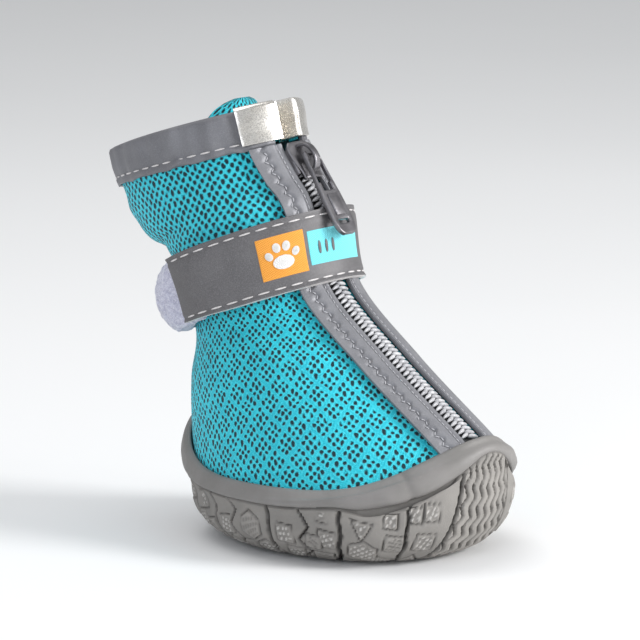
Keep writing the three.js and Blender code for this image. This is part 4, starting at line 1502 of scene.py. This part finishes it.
for side, name in ((1, "left"), (-1, "right")):
    def clip_place(u, v, side=side):
        height, rise, proud = at_row(CLIP_LINE, v * (len(CLIP_LINE) - 1))
        share = u if side == 1 else 1 - u
        angle = front_angle(1.0, CLIP_EDGE + CLIP_WIDTH * share) * side
        dent = 0.12 * np.exp(-((share - 0.5) / 0.3) ** 2) * smooth(proud, 1.5, 1.9)
        return last(height, angle, proud - dent, rise)

    def end_place(u, v, side=side):
        share = u if side == -1 else 1 - u
        height = collar(0.14 + 0.86 * np.minimum(v / 0.8, 1))
        rise = (CLIP_ROOF - CLIP / 2) * smooth(v, 0.75, 1.0)
        proud = CLIP_IN - CLIP / 2 + share * (CLIP_OUT - CLIP_IN + CLIP)
        return last(height, front_angle(1.0, CLIP_EDGE) * side, proud, rise)

    clip = wrapped(f"collar_clip_{name}", 16, 60, clip_place)
    thicken(clip, CLIP, 0.16)
    end_plate = wrapped(f"collar_clip_end_{name}", 8, 20, end_place)
    thicken(end_plate, CLIP, 0.16)
    clip = joined(f"collar_clip_{name}", clip, end_plate)
    edit(clip, recalculate)
    hold(clip, "nickel", bright_nickel, f"clip_{name}", sharp=50)

# %% [markdown]
# ## Strap
# The strap crosses the zip and wraps back to the hook-and-loop band behind the right side. It is
# two layers of reflective cloth sewn along both edges, with a pale cut edge between them. A badge
# and a label are sewn on near the zip; both carry only plain shapes.

# %% Strap
STRAP_FROM, STRAP_TO = math.radians(-112), math.radians(152)
STRAP_LOW, STRAP_HIGH = level("strap bottom", 0.03), level("strap top", -0.03)
STRAP_SEAT = FACING_LIFT + FACING + GAP
STRAP = 1.4
STRAP_WIDTH = 18
STRAP_LIFT = 1.6
SEWING_SHARES = (0.075, 0.925)


def strap_lift(angle):
    """How much further off the skin the strap lies near its right end."""
    share = np.clip((angle - STRAP_FROM) / math.radians(40), 0, 1)
    return STRAP_LIFT * (1 - smooth(share, 0.3, 1.0))


def strap_face(angle, height):
    """How proud of the skin the strap's outer face is."""
    share = (height - STRAP_LOW) / (STRAP_HIGH - STRAP_LOW)
    edge_dip = 0.22 * sum(np.exp(-((share - row) / 0.03) ** 2) for row in SEWING_SHARES)
    swell = 0.12 * np.sin(share * math.pi)
    soft = 0.1 * np.sin(angle * 7) * np.sin(share * math.pi)
    return STRAP_SEAT + strap_lift(angle) + STRAP + swell - edge_dip + soft


strap_angles = np.linspace(STRAP_FROM, STRAP_TO, 600)
strap_run = run_along(last((STRAP_LOW + STRAP_HIGH) / 2, strap_angles, STRAP_SEAT + STRAP))
print("strap is", round(float(strap_run[-1]), 1), "mm long")


def strap_place(u, v):
    angle = np.interp(u * strap_run[-1], strap_run, strap_angles)
    height = STRAP_LOW + v * (STRAP_HIGH - STRAP_LOW)
    return last(height, angle, strap_face(angle, height))


strap = wrapped("ankle_strap", 200, 44, strap_place, (strap_run[-1], STRAP_WIDTH))
strap.data.materials.append(strap_cloth)
strap.data.materials.append(edge_cloth)
thicken(strap, STRAP, 0.25, edge_slot=1)
hold(strap, "reflective", None, "strap", sharp=60)

strap_sewing = []
for share in SEWING_SHARES:
    angle = np.linspace(STRAP_FROM + 0.05, STRAP_TO - 0.05, 700)
    height = np.full(700, STRAP_LOW + share * (STRAP_HIGH - STRAP_LOW))
    strap_sewing.append(line_on_last(height, angle, strap_face(angle, height) + 0.05))
strap_stitches = sewn("strap_stitches", strap_sewing, 2.7, 1.0, 0.2)
hold(strap_stitches, "reflective", white_thread, sharp=80)


PATCH_LIFT, PAD_LIFT = 0.12, 0.26
PAD_FLAT = (6, 2)  # the thread runs across a pad, so its weave is stretched that way


def patch(name, centre_run, width, low, high, material):
    """A thin sewn-on piece on the strap, between shares of its height."""
    def place(u, v):
        run = centre_run + (u - 0.5) * width
        share = low + v * (high - low)
        angle = np.interp(run, strap_run, strap_angles)
        height = STRAP_LOW + share * (STRAP_HIGH - STRAP_LOW)
        return last(height, angle, strap_face(angle, height) + PATCH_LIFT)

    obj = wrapped(name, 24, 24, place, (width, (high - low) * STRAP_WIDTH))
    thicken(obj, 0.3, 0.1)
    hold(obj, "reflective", material, sharp=60)


def strap_spot(along, up, lift):
    """A place on the strap's face: mm round from the zip's line, and mm up from the lower edge."""
    angle = np.interp(front_centre + along, strap_run, strap_angles)
    height = STRAP_LOW + np.asarray(up) / STRAP_WIDTH * (STRAP_HIGH - STRAP_LOW)
    return last(height, angle, strap_face(angle, height) + lift)


def embroidered(name, spots, material):
    """Flat satin-stitched pads. A spot is (along, up, half width, half height, turn)."""
    parts = []
    for number, (along, up, half_width, half_height, turn) in enumerate(spots):
        tilt = math.radians(turn)

        def place(u, v):
            angle = u * math.tau
            x = half_width * v * np.cos(angle)
            y = half_height * v * np.sin(angle)
            crown = 0.12 * (1 - v**2)
            return strap_spot(
                along + x * math.cos(tilt) - y * math.sin(tilt),
                up + x * math.sin(tilt) + y * math.cos(tilt), PAD_LIFT + crown,
            )

        pad = wrapped(f"{name}_{number}", 28, 5, place, PAD_FLAT)
        edit(pad, merge, recalculate)
        thicken(pad, 0.16)
        parts.append(pad)
    motif = joined(name, *parts)
    hold(motif, "reflective", material, sharp=60)


front_centre = float(np.interp(0.0, strap_angles, strap_run))
BADGE_AT, BADGE_UP, BADGE_WIDTH = -13.9, 9.1, 10.4
LABEL_AT, LABEL_WIDTH = -0.1, 15.6
patch("sewn_badge", front_centre + BADGE_AT, BADGE_WIDTH, 0.22, 0.79, badge_cloth)
patch("sewn_label", front_centre + LABEL_AT, LABEL_WIDTH, 0.28, 0.74, label_cloth)
# A plain paw print: one broad pad and four toes.
embroidered("badge_paw", [
    (BADGE_AT, BADGE_UP - 1.5, 2.3, 1.7, 0),
    (BADGE_AT - 2.9, BADGE_UP + 0.5, 0.8, 1.1, 24),
    (BADGE_AT - 1.05, BADGE_UP + 2.2, 0.85, 1.2, 8),
    (BADGE_AT + 1.05, BADGE_UP + 2.2, 0.85, 1.2, -8),
    (BADGE_AT + 2.9, BADGE_UP + 0.5, 0.8, 1.1, -24),
], motif_cloth)
# The label carries three plain bars in grey thread.
embroidered("label_bars", [
    (BADGE_AT + along, BADGE_UP, 0.35, 1.6, 0) for along in (8.6, 10.4, 12.2)
], strap_cloth)

# %% [markdown]
# ## Hook-and-loop band
# A thick soft band of brushed loops goes round the back of the heel and comes out under the strap's
# right end.

# %% Loop band
BAND_START = STRAP_TO + math.radians(2)
BAND_END = STRAP_FROM + math.tau + math.radians(9)
BAND_THICKNESS, BAND_CROWN = 2.4, 0.8
FOLD_AT, FOLD_BULGE = 0.70, 3.6


def band_place(u, v):
    """Rows go up the outside, over, down the inside and back to the start."""
    angle = BAND_START + u * (BAND_END - BAND_START)
    under = smooth(u, 0.72, 0.9)
    under_strap = STRAP_SEAT + STRAP_LIFT - 2 * GAP
    thickness = BAND_THICKNESS + (under_strap - BAND_THICKNESS) * under
    turn = v * math.tau
    # A rounded box section: height share and proudness round the loop.
    up_share = 0.5 - 0.5 * np.cos(turn) * (1 + 0.12 * np.sin(turn) ** 2)
    side = np.sign(np.sin(turn)) * np.abs(np.sin(turn)) ** 0.45
    # The loose fold beside the strap's end is the fullest part, and it sags a little.
    fold = np.exp(-(((u - FOLD_AT) / 0.16) ** 2)) * (1 - smooth(u, 0.78, 0.93))
    full = np.sin(np.clip(up_share * 0.9 + 0.08, 0, 1) * math.pi) ** 0.7
    bulge = (BAND_CROWN * (1 - under) + FOLD_BULGE * fold) * full * (side > 0)
    sag = -0.010 * fold * (1 - up_share)
    height = STRAP_LOW + np.clip(up_share, 0, 1) * (STRAP_HIGH - STRAP_LOW) * 0.98 + sag
    return last(height, angle, GAP + thickness * (0.5 + 0.5 * side) + bulge)


band = wrapped("loop_pile_band", 120, 64, band_place, (70, 40))
edit(band, merge, fill_ends, recalculate)
modify(band, "SUBSURF", levels=1, render_levels=1)
tufts = bpy.data.textures.new("pile tufts", "CLOUDS")
tufts.noise_scale = 1.1 * MM
tufts.noise_depth = 3
modify(
    band, "DISPLACE", texture=tufts, texture_coords="LOCAL", strength=0.7 * MM, mid_level=0.55,
)
hold(band, "loop", pile, "strap_loop_band", sharp=80)

# %% [markdown]
# ## Heel strip
# A narrow strip of the binding cloth covers the mesh's seam up the back of the heel.

# %% Heel strip
HEEL_LOW, HEEL_HIGH = level("rand top", 0.05), collar(0.0)
HEEL_HALF = 3.6


def heel_place(u, v):
    height = HEEL_LOW + v * (HEEL_HIGH - HEEL_LOW)
    back_half = column_at(HALF_WIDTH, height) * (1 + column_at(EGG, height))
    angle = math.pi + np.arcsin((u * 2 - 1) * HEEL_HALF / back_half)
    return last(height, angle, 0.55 + 0.15 * (1 - (u * 2 - 1) ** 2) + creased(height, angle))


heel_strip = wrapped("heel_seam_strip", 16, 120, heel_place, (2 * HEEL_HALF, 60))
thicken(heel_strip, 0.5, 0.15)
hold(heel_strip, "reflective", binding_cloth, sharp=60)

# %% [markdown]
# ## Stage
# A pale floor and soft light: a broad key from the toe side, a fill from the heel side, a soft top
# light and a low kick on the toe.

# %% Stage
deselect()
bpy.ops.mesh.primitive_plane_add(size=6, location=(0, 0, -0.0002))
floor = bpy.context.object
floor.name = "floor"
floor_material, floor_shader = finish_named("pale studio floor", Roughness=0.6)
floor_cloud = add(floor_material, "TexNoise", millimetres(floor_material), 1 / 400.0, 3.0)
floor_tone = add(
    floor_material, "Mix", floor_cloud, colour("#F2F2F2"), colour("#FAFAFA"), data_type="RGBA",
)
feed(floor_material, floor_tone, floor_shader.inputs["Base Color"])
floor.data.materials.append(floor_material)

world = bpy.data.worlds.new("studio")
scene.world = world
world.use_nodes = True
background = world.node_tree.nodes["Background"]
background.inputs["Color"].default_value = colour("#F4F6F8")
background.inputs["Strength"].default_value = 0.52


def softbox(name, place, size, power, tint="#FFFFFF"):
    bpy.ops.object.light_add(type="AREA", location=place)
    light = bpy.context.object
    light.name = name
    light.data.size = size
    light.data.energy = power
    light.data.color = colour(tint)[:3]
    light.rotation_euler = (Vector(place) - TARGET).to_track_quat("Z", "Y").to_euler()


softbox("key", (0.34, -0.80, 0.42), 0.3, 7.6)
softbox("fill", (-0.85, -0.2, 0.35), 0.6, 2.2, "#EEF4FF")
softbox("top", (0.0, 0.25, 0.9), 0.6, 2.8)
softbox("toe kick", (0.12, -0.9, 0.12), 0.2, 1.7)
scene.view_settings.view_transform = "Standard"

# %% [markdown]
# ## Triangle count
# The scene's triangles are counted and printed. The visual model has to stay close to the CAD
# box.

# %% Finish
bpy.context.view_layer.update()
meshes = [obj.data for obj in scene.objects if obj.type == "MESH"]
print("triangles:", sum(len(mesh.loop_triangles) or len(mesh.polygons) * 2 for mesh in meshes))
